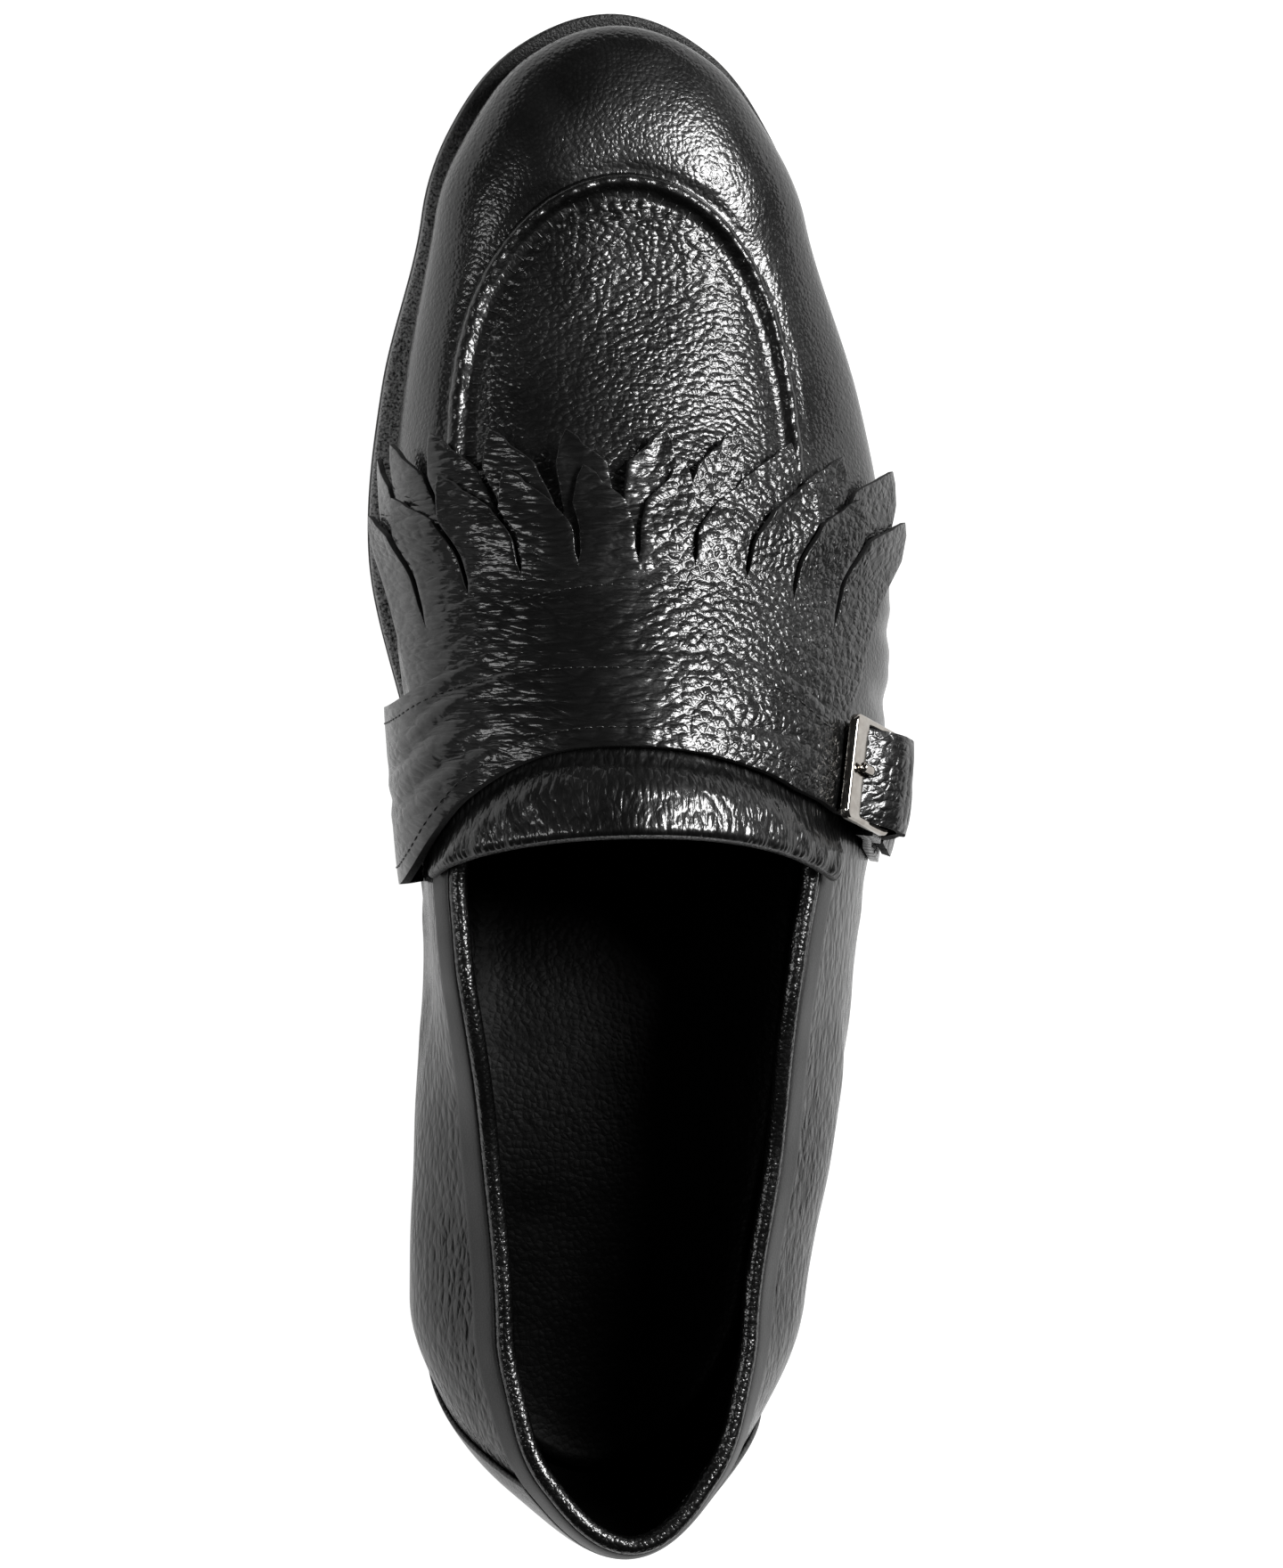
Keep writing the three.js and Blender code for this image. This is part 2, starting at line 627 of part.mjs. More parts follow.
// Heel counter: patch round the back, its front edge leaning, its top under the collar band
const COUNTER_TOP = 0.055 * LENGTH;
const COUNTER_FOOT = 0.115 * LENGTH;
const COLLAR_BAND = 6;
function heelCounter() {
  const low = featherHeight(0) + SEAT_GAP;
  const top = (y) => collarHeight(y) - COLLAR_BAND;
  const outline = [
    [-COUNTER_TOP, low],
    [COUNTER_FOOT, low],
    [COUNTER_TOP, top(COUNTER_TOP)],
    [0, top(0)],
    [-COUNTER_TOP, top(0)],
  ];
  return shell(SEAT_GAP, SEAT_GAP + COUNTER_LEATHER).intersect(toManifold(prismAcross(outline)));
}

// Bead along the collar, on the middle of the wall's cut edge
const BEAD_ARC_SEGMENTS = 3;
const BEAD_STEPS = 24;
const BEAD_END = 0.44 * LENGTH;
const HALVINGS = 30;
function collarPoint(at, side) {
  let low = 1;
  let high = 3;
  for (let i = 0; i < HALVINGS; i++) {
    const v = (low + high) / 2;
    const p = skin(at, side, v, -WALL / 2);
    if (p.z < collarHeight(p.y)) low = v;
    else high = v;
  }
  const p = skin(at, side, low, -WALL / 2);
  return p.setZ(p.z + BEAD_RADIUS + SEAT_GAP);
}

function collarBead() {
  const end = straightAt(BEAD_END / LENGTH);
  const path = [];
  for (let i = -BEAD_STEPS; i <= BEAD_STEPS; i++) {
    path.push(collarPoint(Math.abs(i / BEAD_STEPS) * end, i < 0 ? -1 : 1));
  }
  const curve = new THREE.CatmullRomCurve3(path);
  const circle = new THREE.Shape();
  circle.absarc(0, 0, BEAD_RADIUS, 0, 2 * Math.PI);
  return new THREE.ExtrudeGeometry(circle, {
    steps: 2 * BEAD_STEPS, curveSegments: BEAD_ARC_SEGMENTS, extrudePath: curve, bevelEnabled: false,
  });
}

// Heights of the layers over the instep
const TONGUE_BASE = SEAT_GAP;
const LOWER_BASE = SEAT_GAP;
const UPPER_BASE = LOWER_BASE + KILTIE_LEATHER + LAYER_GAP;
const STRAP_BASE = UPPER_BASE + KILTIE_LEATHER + LAYER_GAP;

const strapEdge = (a, name) => column(STRAP, a / BALL_WIDTH, (row) => row.a, (row) => row[name]) * LENGTH;
const strapMiddle = (a) => (strapEdge(a, 'front') + strapEdge(a, 'rear')) / 2;

// Kiltie: two fringed layers over the vamp
// Column k counts slits from the middle one, out to 5 at the side edges. Each layer has its height
// off the skin, the place of its middle tips and their fall to the sides, the sideways shift of
// its slits, and how far its strands spread past their roots.
const STRANDS_EACH_SIDE = 5;
const ROOT = 0.642 * LENGTH;
const ROOT_FALL = 0.8;
const SPREAD = 0.021;
const LOWER_LAYER = {
  base: LOWER_BASE, end: 0.711 * LENGTH, fall: 0.3, shift: -0.28 * STRAND_PITCH, spread: 0.012,
};
const UPPER_LAYER = { base: UPPER_BASE, end: 0.684 * LENGTH, fall: 0.42, shift: 0, spread: SPREAD };
const TIP_RISE = 4.2;
const TIP_PLACE = 0.68;
const CURL_START = 0.628 * LENGTH;
const CURL_RUN = 10;
const CURL = SEAM_RISE + SEAT_GAP;
const TIP_CURL = 0.09;

const slitRoot = (k) => ROOT - ROOT_FALL * k * k;
// The side edges of both layers coincide up to the roots, so the shift dies out there
const fade = (k) => 1 - ease(Math.abs(k) - STRANDS_EACH_SIDE + 1);
function slitGirth(k, y, layer) {
  const past = y - slitRoot(k);
  const spread = past > 0 ? layer.spread : SPREAD;
  return Math.sign(k) * (STRAND_PITCH * Math.abs(k) + spread * k * k * past) + layer.shift * fade(k);
}

function kiltieLift(y) {
  const past = Math.max(y - UPPER_LAYER.end, 0);
  return CURL * ease((y - CURL_START) / CURL_RUN) + TIP_CURL * past;
}

const STRAND_COLUMNS = 2;
const STRAND_ROWS = 5;
function strand(k, layer) {
  const outward = k < 0 ? -1 : 1;
  const place = (u, v, w) => {
    const line = k + u;
    const outer = outward > 0 ? u : 1 - u;
    const tip = outer < TIP_PLACE ? outer / TIP_PLACE : (1 - outer) / (1 - TIP_PLACE);
    const y = mix(slitRoot(line), layer.end - layer.fall * line * line + TIP_RISE * tip, v);
    const gap = SLIT / 2 * Math.sign(0.5 - u) * ease(2 * v);
    return wrap(slitGirth(line, y, layer) + gap, y, layer.base + kiltieLift(y) + w * KILTIE_LEATHER);
  };
  return slabFaces(STRAND_COLUMNS, STRAND_ROWS, place, { end: true, left: true, right: true });
}

// Place where the line of column k meets the middle of the strap, which hides the joint to the tongue
const JOINT_GAP = 0.6;
const JOINT_ROUNDS = 6;
function jointPlace(k, layer) {
  let y = strapMiddle(0);
  for (let i = 0; i < JOINT_ROUNDS; i++) y = strapMiddle(slitGirth(k, y, layer));
  return y + JOINT_GAP;
}

const KILTIE_ROWS = 3;
function kiltie(layer) {
  const place = (u, v, w) => {
    const k = mix(-STRANDS_EACH_SIDE, STRANDS_EACH_SIDE, u);
    const y = mix(jointPlace(k, layer), slitRoot(k), v);
    return wrap(slitGirth(k, y, layer), y, layer.base + kiltieLift(y) + w * KILTIE_LEATHER);
  };
  const columns = 2 * STRANDS_EACH_SIDE * STRAND_COLUMNS;
  const parts = [slabFaces(columns, KILTIE_ROWS, place, { start: true, left: true, right: true })];
  for (let k = -STRANDS_EACH_SIDE; k < STRANDS_EACH_SIDE; k++) parts.push(strand(k, layer));
  return joinFaces(parts);
}

// Tongue: from under the strap to its rolled edge over the collar opening
const TONGUE_REAR = 0.473 * LENGTH;
const TONGUE_HALF = 0.48 * BALL_WIDTH;
const TONGUE_BOW = 9.3;
const TONGUE_FLARE = 1.2;
const TONGUE_EDGE = 0.9;
const TONGUE_ROLL = 8;
function tongue() {
  return slabGeometry(20, 5, (u, v, w) => {
    const a = mix(-TONGUE_HALF, TONGUE_HALF, u);
    const rear = TONGUE_REAR - TONGUE_BOW * (a / TONGUE_HALF) ** 2;
    const y = mix(strapMiddle(a) - JOINT_GAP, rear, v);
    const back = ease((strapEdge(a, 'rear') - y) / TONGUE_ROLL);
    return wrap(a, y, TONGUE_BASE + back * TONGUE_FLARE + w * (TONGUE_LEATHER + back * TONGUE_EDGE));
  });
}

// Strap: from the inner feather over the instep, through the buckle, down the outer side
const STRAP_FOOT = -0.93 * BALL_WIDTH;
const STRAP_TAIL = 0.84 * BALL_WIDTH;
// On the inner side the strap stands off as far as here, then turns in to the upper
const STAND_OFF = 0.7 * BALL_WIDTH;
const FAR_BAR = 0.575 * BALL_WIDTH;
const NEAR_BAR = 0.44 * BALL_WIDTH;
// The flat bars lie askew to the curved leather, so their gaps are larger
const NEAR_GAP = 1.4;
const FAR_GAP = 0.6;

// The tab that holds the far bar rises off the upper towards it and is folded double there
const TAB_RISE = 2.6;
const TAB_RUN = 13;
const FOLD_RUN = 6;
const tabBase = (a) => SEAT_GAP + TAB_RISE * (1 - ease((a - FAR_BAR) / TAB_RUN));
const tabLeather = (a) => STRAP_LEATHER * (2 - ease((a - FAR_BAR) / FOLD_RUN));
const tabTop = (a) => tabBase(a) + tabLeather(a);

// Over the tab the strap keeps twice the seat gap, because its mesh is coarser than the tab's
const OVER_BAR = tabTop(FAR_BAR) + 3 * FAR_GAP + BUCKLE_THICKNESS;
const SLOPE_RUN = 9;
function strapHeight(a) {
  if (a < 0) return mix(STRAP_BASE, SEAT_GAP, ease((-a - STAND_OFF) / SLOPE_RUN));
  const onBar = mix(STRAP_BASE, OVER_BAR, ease((a - NEAR_BAR) / (FAR_BAR - NEAR_BAR)));
  return mix(onBar, tabTop(a) + 2 * SEAT_GAP, ease((a - FAR_BAR - BUCKLE_BAR / 2) / SLOPE_RUN));
}

// Width left to the strap between the sides of the buckle
const STRAP_PLAY = 1.2;
const STRAP_IN_BUCKLE = BUCKLE_WIDTH - 2 * BUCKLE_SIDE - 2 * STRAP_PLAY;
const STRAP_NARROWS = 0.3 * BALL_WIDTH;
function strapSheet() {
  return slabGeometry(44, 2, (u, v, w) => {
    const a = mix(STRAP_FOOT, STRAP_TAIL, u);
    const wide = strapEdge(a, 'front') - strapEdge(a, 'rear');
    const squeeze = a > 0 ? ease((a - STRAP_NARROWS) / (NEAR_BAR - BUCKLE_BAR - STRAP_NARROWS)) : 0;
    const width = mix(wide, STRAP_IN_BUCKLE, squeeze);
    const y = strapMiddle(a) + (0.5 - v) * width;
    return wrap(a, y, strapHeight(a) + w * STRAP_LEATHER);
  });
}

// Short tab that holds the far bar of the buckle, down the outer side under the strap's tail
const TAB_WIDTH = BUCKLE_WIDTH;
const TAB_FOOT = 0.9 * BALL_WIDTH;
const TAB_BACKWARD = 1;
function buckleTab() {
  return slabGeometry(10, 2, (u, v, w) => {
    const a = mix(FAR_BAR - BUCKLE_BAR / 2, TAB_FOOT, u);
    const y = strapMiddle(Math.min(a, STRAP_TAIL)) - TAB_BACKWARD + (0.5 - v) * TAB_WIDTH;
    return wrap(a, y, tabBase(a) + w * tabLeather(a));
  });
}

// Buckle: flat frame, its near bar over the strap and its far bar under it
const NEAR_HEIGHT = STRAP_BASE + STRAP_LEATHER + NEAR_GAP + BUCKLE_THICKNESS / 2;
const FAR_HEIGHT = tabTop(FAR_BAR) + FAR_GAP + BUCKLE_THICKNESS / 2;
const barEnd = (a, h, side) => wrap(a, strapMiddle(a) + side * BUCKLE_WIDTH / 2, h);
const barCentre = (a, h) => barEnd(a, h, 1).add(barEnd(a, h, -1)).multiplyScalar(0.5);
function buckleMatrix() {
  const near = barCentre(NEAR_BAR, NEAR_HEIGHT);
  const far = barCentre(FAR_BAR, FAR_HEIGHT);
  const out = far.clone().sub(near).normalize();
  const front = barEnd(NEAR_BAR, NEAR_HEIGHT, 1).add(barEnd(FAR_BAR, FAR_HEIGHT, 1));
  const rear = barEnd(NEAR_BAR, NEAR_HEIGHT, -1).add(barEnd(FAR_BAR, FAR_HEIGHT, -1));
  const up = out.clone().cross(front.sub(rear)).normalize();
  const frame = new THREE.Matrix4().makeBasis(out, up.clone().cross(out), up);
  return frame.setPosition(near.add(far).multiplyScalar(0.5));
}
const BUCKLE_PLACE = buckleMatrix();

function roundedRectangle(length, width, radius) {
  const x = length / 2;
  const y = width / 2;
  const path = new THREE.Shape();
  path.moveTo(-x + radius, -y);
  path.lineTo(x - radius, -y);
  path.absarc(x - radius, -y + radius, radius, -Math.PI / 2, 0);
  path.absarc(x - radius, y - radius, radius, 0, Math.PI / 2);
  path.absarc(-x + radius, y - radius, radius, Math.PI / 2, Math.PI);
  path.absarc(-x + radius, -y + radius, radius, Math.PI, 1.5 * Math.PI);
  return path;
}

const BUCKLE_CORNER = 1.4;
const BUCKLE_INNER_CORNER = 0.6;
function buckle() {
  const outline = roundedRectangle(BUCKLE_LENGTH, BUCKLE_WIDTH, BUCKLE_CORNER);
  const innerLength = BUCKLE_LENGTH - 2 * BUCKLE_BAR;
  const innerWidth = BUCKLE_WIDTH - 2 * BUCKLE_SIDE;
  outline.holes.push(roundedRectangle(innerLength, innerWidth, BUCKLE_INNER_CORNER));
  const frame = new THREE.ExtrudeGeometry(outline, {
    depth: BUCKLE_THICKNESS, bevelEnabled: false, curveSegments: 3,
  });
  frame.translate(0, 0, -BUCKLE_THICKNESS / 2);
  return frame;
}

// Prong: from the far bar under the strap, up through its hole and over the near bar
const PRONG_NOSE = 0.3;
const PRONG_DEPTH = BUCKLE_THICKNESS / 2 + SEAT_GAP + PRONG_THICKNESS / 2;
const NEAR_EDGE = BUCKLE_LENGTH / 2 - BUCKLE_BAR;
function prong() {
  const half = PRONG_THICKNESS / 2;
  const path = [
    [NEAR_EDGE - 2 * SEAT_GAP, -PRONG_DEPTH],
    [0, -PRONG_DEPTH],
    [-NEAR_EDGE + SEAT_GAP, PRONG_DEPTH],
    [-BUCKLE_LENGTH / 2 - PRONG_NOSE, PRONG_DEPTH],
  ];
  const side = (sign) => path.map(([x, z]) => new THREE.Vector2(x, z + sign * half));
  const shape = new THREE.Shape([...side(1), ...side(-1).reverse()]);
  const bar = new THREE.ExtrudeGeometry(shape, { depth: PRONG_WIDTH, bevelEnabled: false });
  bar.rotateX(Math.PI / 2);
  bar.translate(0, PRONG_WIDTH / 2, 0);
  return bar;
}

// The hole lets the prong through with clearance all round
const HOLE_PLAY = 0.4;
function strap() {
  const reachOut = NEAR_EDGE + HOLE_PLAY;
  const hole = new THREE.BoxGeometry(reachOut, PRONG_WIDTH + 2 * HOLE_PLAY, 4 * STRAP_LEATHER);
  hole.translate(HOLE_PLAY - reachOut / 2, 0, 0);
  hole.applyMatrix4(BUCKLE_PLACE);
  return fromManifold(toManifold(strapSheet()).subtract(toManifold(hole)));
}

// Assembly

addPiece('outsole', outsole(), SOLE_LEATHER);
addPiece('heel_stack', heelBlock(STACK_INSET, TOP_PIECE, HEEL_HEIGHT - TOP_PIECE), SOLE_LEATHER);
addPiece('heel_top_piece', heelBlock(TOP_PIECE_INSET, 0, TOP_PIECE), RUBBER);
addPiece('welt', welt(), SOLE_LEATHER);
addPiece('insole', insole(), LINING);
addPiece('upper', fromManifold(upper), GRAIN);
addPiece('heel_counter', fromManifold(heelCounter()), GRAIN);
addPiece('apron_seam', fromManifold(apronSeam), GRAIN);
addPiece('collar_bead', collarBead(), SMOOTH);
addPiece('tongue', tongue(), GRAIN);
addPiece('kiltie_lower', kiltie(LOWER_LAYER), GRAIN);
addPiece('kiltie_upper', kiltie(UPPER_LAYER), GRAIN);
addPiece('strap', strap(), GRAIN);
addPiece('buckle_tab', buckleTab(), GRAIN);
addPiece('buckle_frame', buckle(), NICKEL).applyMatrix4(BUCKLE_PLACE);
addPiece('buckle_prong', prong(), NICKEL).applyMatrix4(BUCKLE_PLACE);

// The origin is the middle of the heel's face on the ground
const HEEL_REST = 0.11 * LENGTH;
shoe.position.set(0, -HEEL_REST, 0);

const object = new THREE.Group();
object.add(shoe);
export default object;
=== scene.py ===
# Black monk strap loafer with a fringed kiltie, right shoe, dressed over its solids.
# Metres; +X is the outer side, +Y the toe, +Z up. Surface places are worked out in shoe
# coordinates, with y = 0 at the back of the heel, and shifted to the frame as meshes are made.
import math

import bmesh
import bpy
import numpy as np
from mathutils import Matrix, Vector
from mathutils.bvhtree import BVHTree


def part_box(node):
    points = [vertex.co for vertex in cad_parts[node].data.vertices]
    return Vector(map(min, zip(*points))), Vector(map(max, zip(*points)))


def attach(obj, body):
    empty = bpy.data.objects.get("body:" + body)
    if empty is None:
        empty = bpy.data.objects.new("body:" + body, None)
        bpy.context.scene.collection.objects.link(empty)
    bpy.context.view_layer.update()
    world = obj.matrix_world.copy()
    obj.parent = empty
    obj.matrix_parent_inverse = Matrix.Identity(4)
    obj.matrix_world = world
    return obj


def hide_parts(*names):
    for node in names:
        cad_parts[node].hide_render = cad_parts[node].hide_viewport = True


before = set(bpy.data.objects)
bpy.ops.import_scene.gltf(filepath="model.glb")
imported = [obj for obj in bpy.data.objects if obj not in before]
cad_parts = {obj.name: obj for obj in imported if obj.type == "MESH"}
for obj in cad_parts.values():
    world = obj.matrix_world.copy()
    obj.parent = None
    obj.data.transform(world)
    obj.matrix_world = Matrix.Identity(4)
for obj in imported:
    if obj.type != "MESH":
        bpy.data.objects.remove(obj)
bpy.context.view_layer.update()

# Driving sizes
MM = 0.001
HEEL_REST_SHARE = 0.11
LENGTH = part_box("outsole")[1][1] / (1 - HEEL_REST_SHARE)
HEEL_REST = HEEL_REST_SHARE * LENGTH
BALL_WIDTH = 96 * MM
INSTEP_RISE = 80 * MM
COLLAR_RISE = 52 * MM
TOE_SPRING = 11 * MM
HEEL_HEIGHT = 20 * MM
TOP_PIECE = 6 * MM
OUTSOLE = 4.5 * MM
WELT = 2.8 * MM
WELT_SEAT = 7 * MM
WALL = 2.2 * MM
INSOLE = 3 * MM
SEAT_GAP = 0.3 * MM
LAYER_GAP = 0.45 * MM
KILTIE_LEATHER = 1.2 * MM
TONGUE_LEATHER = 2.5 * MM
STRAP_LEATHER = 1.8 * MM
COUNTER_LEATHER = 1.0 * MM
STRAND_PITCH = 10.5 * MM
SLIT = 0.9 * MM
BUCKLE_WIDTH = 20.5 * MM
BUCKLE_LENGTH = 16.4 * MM
BUCKLE_BAR = 3.4 * MM
NEAR_BAR_WIDE = 5.0 * MM
BUCKLE_SIDE = 1.4 * MM
BUCKLE_THICKNESS = 1.9 * MM

# Places along the shoe
HEEL_TURN = 0.152 * LENGTH
TOE_TURN = 0.865 * LENGTH
BREAST = 0.21 * LENGTH
TREAD_START = 0.557 * LENGTH
TREAD_END = 0.676 * LENGTH
STRAIGHT = TOE_TURN - HEEL_TURN


def straight_at(y):
    return 1 + (y - HEEL_TURN) / STRAIGHT


def share_at(share):
    return straight_at(share * LENGTH)


# Sections of the last from heel to toe: reaches in shares of BALL_WIDTH, heights of INSTEP_RISE
SECTION_NAMES = ("at", "sole_in", "sole_out", "foot_in", "foot_out", "bulge_in", "bulge_out", "bulge",
                 "shoulder_in", "shoulder_out", "shoulder", "ridge_x", "ridge")
SECTIONS = np.array([
    (0, .427, .427, .411, .411, .453, .453, .21, .421, .421, .65, -.01, 1.03),
    (1 / 3, .386, .386, .37, .37, .419, .419, .21, .339, .328, .626, -.01, 1.03),
    (2 / 3, .354, .354, .34, .34, .394, .394, .2, .269, .26, .576, -.01, 1.03),
    (1, .35, .354, .335, .339, .406, .41, .19, .26, .252, .533, -.01, 1.03),
    (share_at(.27), .33, .408, .318, .396, .399, .475, .175, .292, .306, .509, -.016, 1),
    (share_at(.389), .315, .463, .302, .448, .375, .524, .16, .34, .331, .669, -.021, 1),
    (share_at(.507), .375, .526, .349, .505, .398, .583, .16, .344, .385, .688, -.021, .92),
    (share_at(.635), .469, .547, .417, .526, .44, .594, .16, .349, .411, .526, -.016, .714),
    (share_at(.75), .448, .505, .403, .484, .419, .526, .14, .323, .375, .375, -.01, .494),
    (2, .375, .417, .348, .389, .363, .404, .11, .281, .313, .268, -.005, .33),
    (7 / 3, .37, .385, .331, .348, .346, .363, .1, .271, .281, .24, -.005, .33),
    (8 / 3, .397, .399, .356, .359, .37, .373, .094, .292, .292, .201, -.005, .33),
    (3, .417, .417, .374, .374, .388, .388, .088, .307, .307, .179, -.005, .33),
])

# Edge of the collar from the side: y of LENGTH, rise above the feather line of COLLAR_RISE
COLLAR = np.array([
    (-.04, 1.03), (.015, 1), (.08, .9), (.165, .8), (.265, .775), (.375, .99), (.41, 1.02), (.45, 1.04),
    (.49, 1.16), (.53, 1.5),
])

# Edges of the strap: girth from the ridge of BALL_WIDTH, front and rear edge of LENGTH
STRAP = np.array([
    (-.95, .533, .424), (-.78, .54, .428), (-.52, .551, .447), (-.34, .57, .494), (-.2, .58, .519),
    (0, .583, .527), (.23, .575, .512), (.45, .543, .481), (.62, .526, .467), (.86, .503, .446),
])


# The last's surface, on arrays of places

def ease(t):
    t = np.clip(t, 0, 1)
    return t * t * (3 - 2 * t)


def mix(a, b, t):
    return a + (b - a) * t


def hermite(p0, p1, m0, m1, t):
    return ((2 * t ** 3 - 3 * t ** 2 + 1) * p0 + (t ** 3 - 2 * t ** 2 + t) * m0
            + (3 * t ** 2 - 2 * t ** 3) * p1 + (t ** 3 - t ** 2) * m1)


def spline(x, keys, values):
    """Smooth curve through a table's column, level at both ends."""
    step = np.diff(keys)
    rate = np.diff(values) / step
    slope = np.zeros(len(keys))
    slope[1:-1] = (rate[:-1] * step[1:] + rate[1:] * step[:-1]) / (step[1:] + step[:-1])
    i = np.clip(np.searchsorted(keys, x, side="right") - 1, 0, len(step) - 1)
    t = np.clip((x - keys[i]) / step[i], 0, 1)
    return hermite(values[i], values[i + 1], slope[i] * step[i], slope[i + 1] * step[i], t)


def tread(y):
    shank = HEEL_HEIGHT * (1 - ease((y - BREAST) / (TREAD_START - BREAST)))
    return shank + TOE_SPRING * (np.maximum(y - TREAD_END, 0) / (LENGTH - TREAD_END)) ** 2


def welt_base(y):
    return tread(y) + OUTSOLE + SEAT_GAP


def feather_height(y):
    return welt_base(y) + WELT + SEAT_GAP


HEEL_ARC = 0.41 * BALL_WIDTH * math.pi / 2
TOE_ARC = 0.37 * BALL_WIDTH * math.pi / 2
TRAVEL_KEYS = np.array([0, HEEL_ARC, HEEL_ARC + STRAIGHT, HEEL_ARC + STRAIGHT + TOE_ARC])
AT_KEYS = np.array([0, 1, 2, 3])


def travel(at):
    return np.interp(at, AT_KEYS, TRAVEL_KEYS)


def at_of_travel(distance):
    return np.interp(distance, TRAVEL_KEYS, AT_KEYS)


SECTION_TRAVEL = travel(SECTIONS[:, 0])


def section(at, name):
    return spline(travel(at), SECTION_TRAVEL, SECTIONS[:, SECTION_NAMES.index(name)])


def reach(at, side, name):
    inner = section(at, name + "_in")
    outer = section(at, name + "_out")
    return BALL_WIDTH * np.where(side < 0, inner, outer)


def spoke(at, side):
    """Foot and direction in plan of the upright columns."""
    heel = np.clip(at, 0, 1) * math.pi / 2
    toe = np.clip(3 - at, 0, 1) * math.pi / 2
    turn = np.where(at < 1.5, heel, toe)
    y = HEEL_TURN + np.clip(at - 1, 0, 1) * STRAIGHT
    return y, side * np.sin(turn), np.cos(turn) * np.where(at < 1.5, -1, 1)


RIDGE_STEP = 0.004


def ridge_height(at):
    return feather_height(spoke(at, 1)[0]) + section(at, "ridge") * INSTEP_RISE


def ridge_slope(at):
    start = np.clip(at, 1 + RIDGE_STEP, 2)
    return (ridge_height(start) - ridge_height(start - RIDGE_STEP)) / (RIDGE_STEP * STRAIGHT)


TOE_SLOPE = float(ridge_slope(np.array(2.0)))
FOOT_TURN = 0.35


def on_last(at, side, v):
    """Points of the outer face: v is 0 at the feather, 1 bulge, 2 shoulder, 3 ridge."""
    line_y, dx, dy = spoke(at, side)
    foot = reach(at, side, "foot")
    bulge = reach(at, side, "bulge")
    shoulder = reach(at, side, "shoulder")
    foot_z = feather_height(line_y + dy * foot)
    bulge_z = foot_z + section(at, "bulge") * INSTEP_RISE
    shoulder_z = foot_z + section(at, "shoulder") * INSTEP_RISE
    top_z = ridge_height(at)
    lower = np.hypot(shoulder - bulge, shoulder_z - bulge_z)
    upper = np.hypot(shoulder, top_z - shoulder_z)
    lean_r = (shoulder - bulge) / lower - shoulder / upper
    lean_z = (shoulder_z - bulge_z) / lower + (top_z - shoulder_z) / upper
    size = np.hypot(lean_r, lean_z)
    lean_r = lean_r / size
    lean_z = lean_z / size
    rise = np.where(at > 2, -TOE_SLOPE * dy, 0)
    t0 = np.clip(v, 0, 1)
    t1 = np.clip(v - 1, 0, 1)
    t2 = np.clip(v - 2, 0, 1)
    turn_z = mix(foot_z, bulge_z, FOOT_TURN)
    r0 = (1 - t0) ** 2 * foot + (1 - (1 - t0) ** 2) * bulge
    z0 = (1 - t0) ** 2 * foot_z + 2 * t0 * (1 - t0) * turn_z + t0 ** 2 * bulge_z
    r1 = hermite(bulge, shoulder, 0, lean_r * lower, t1)
    z1 = hermite(bulge_z, shoulder_z, lower, lean_z * lower, t1)
    r2 = hermite(shoulder, 0, lean_r * upper, -upper, t2)
    z2 = hermite(shoulder_z, top_z, lean_z * upper, rise * upper, t2)
    r = np.where(v < 1, r0, np.where(v < 2, r1, r2))
    z = np.where(v < 1, z0, np.where(v < 2, z1, z2))
    lift = np.where(v > 1, ease((z - bulge_z) / (top_z - bulge_z)), 0)
    x = dx * r + section(at, "ridge_x") * BALL_WIDTH * lift
    return np.stack(np.broadcast_arrays(x, line_y + dy * r, z), -1)


PROBE = 0.002


def skin_normal(at, side, v):
    along = on_last(np.minimum(at + PROBE, 3), side, v) - on_last(np.maximum(at - PROBE, 0), side, v)
    up = on_last(at, side, np.minimum(v + PROBE, 3)) - on_last(at, side, np.maximum(v - PROBE, 0))
    normal = np.cross(along, up) * side[..., None]
    middle = (at <= 0) | (at >= 3)
    normal[..., 0] = np.where(middle, 0, normal[..., 0])
    slope = ridge_slope(at)
    ridge = np.stack([np.zeros_like(slope), -slope, np.ones_like(slope)], -1)
    normal = np.where((v > 3 - PROBE)[..., None], ridge, normal)
    return normal / np.linalg.norm(normal, axis=-1, keepdims=True)


def skin(at, side, v, height=0.0):
    at, side, v, height = (np.asarray(q, float) for q in np.broadcast_arrays(at, side, v, height))
    return on_last(at, side, v) + skin_normal(at, side, v) * height[..., None]


# Girth from the ridge down each section, to find v by length
GIRTH_ROWS = 420
GIRTH_LEVELS = 160
GIRTH_COLUMNS = 300
GIRTH_Y = np.linspace(HEEL_TURN, TOE_TURN, GIRTH_ROWS)
GIRTH_REACH = 1.3 * BALL_WIDTH


def girth_table(side):
    at = straight_at(GIRTH_Y)[:, None]
    v = np.linspace(3, 0, GIRTH_LEVELS)[None, :]
    at, v = np.broadcast_arrays(at, v)
    points = on_last(at, np.full(at.shape, float(side)), v)
    steps = np.linalg.norm(np.diff(points, axis=1), axis=-1)
    lengths = np.concatenate([np.zeros((GIRTH_ROWS, 1)), np.cumsum(steps, axis=1)], axis=1)
    marks = np.linspace(0, GIRTH_REACH, GIRTH_COLUMNS)
    return np.array([np.interp(marks, row, v[0]) for row in lengths])


GIRTH_TABLES = {-1: girth_table(-1), 1: girth_table(1)}


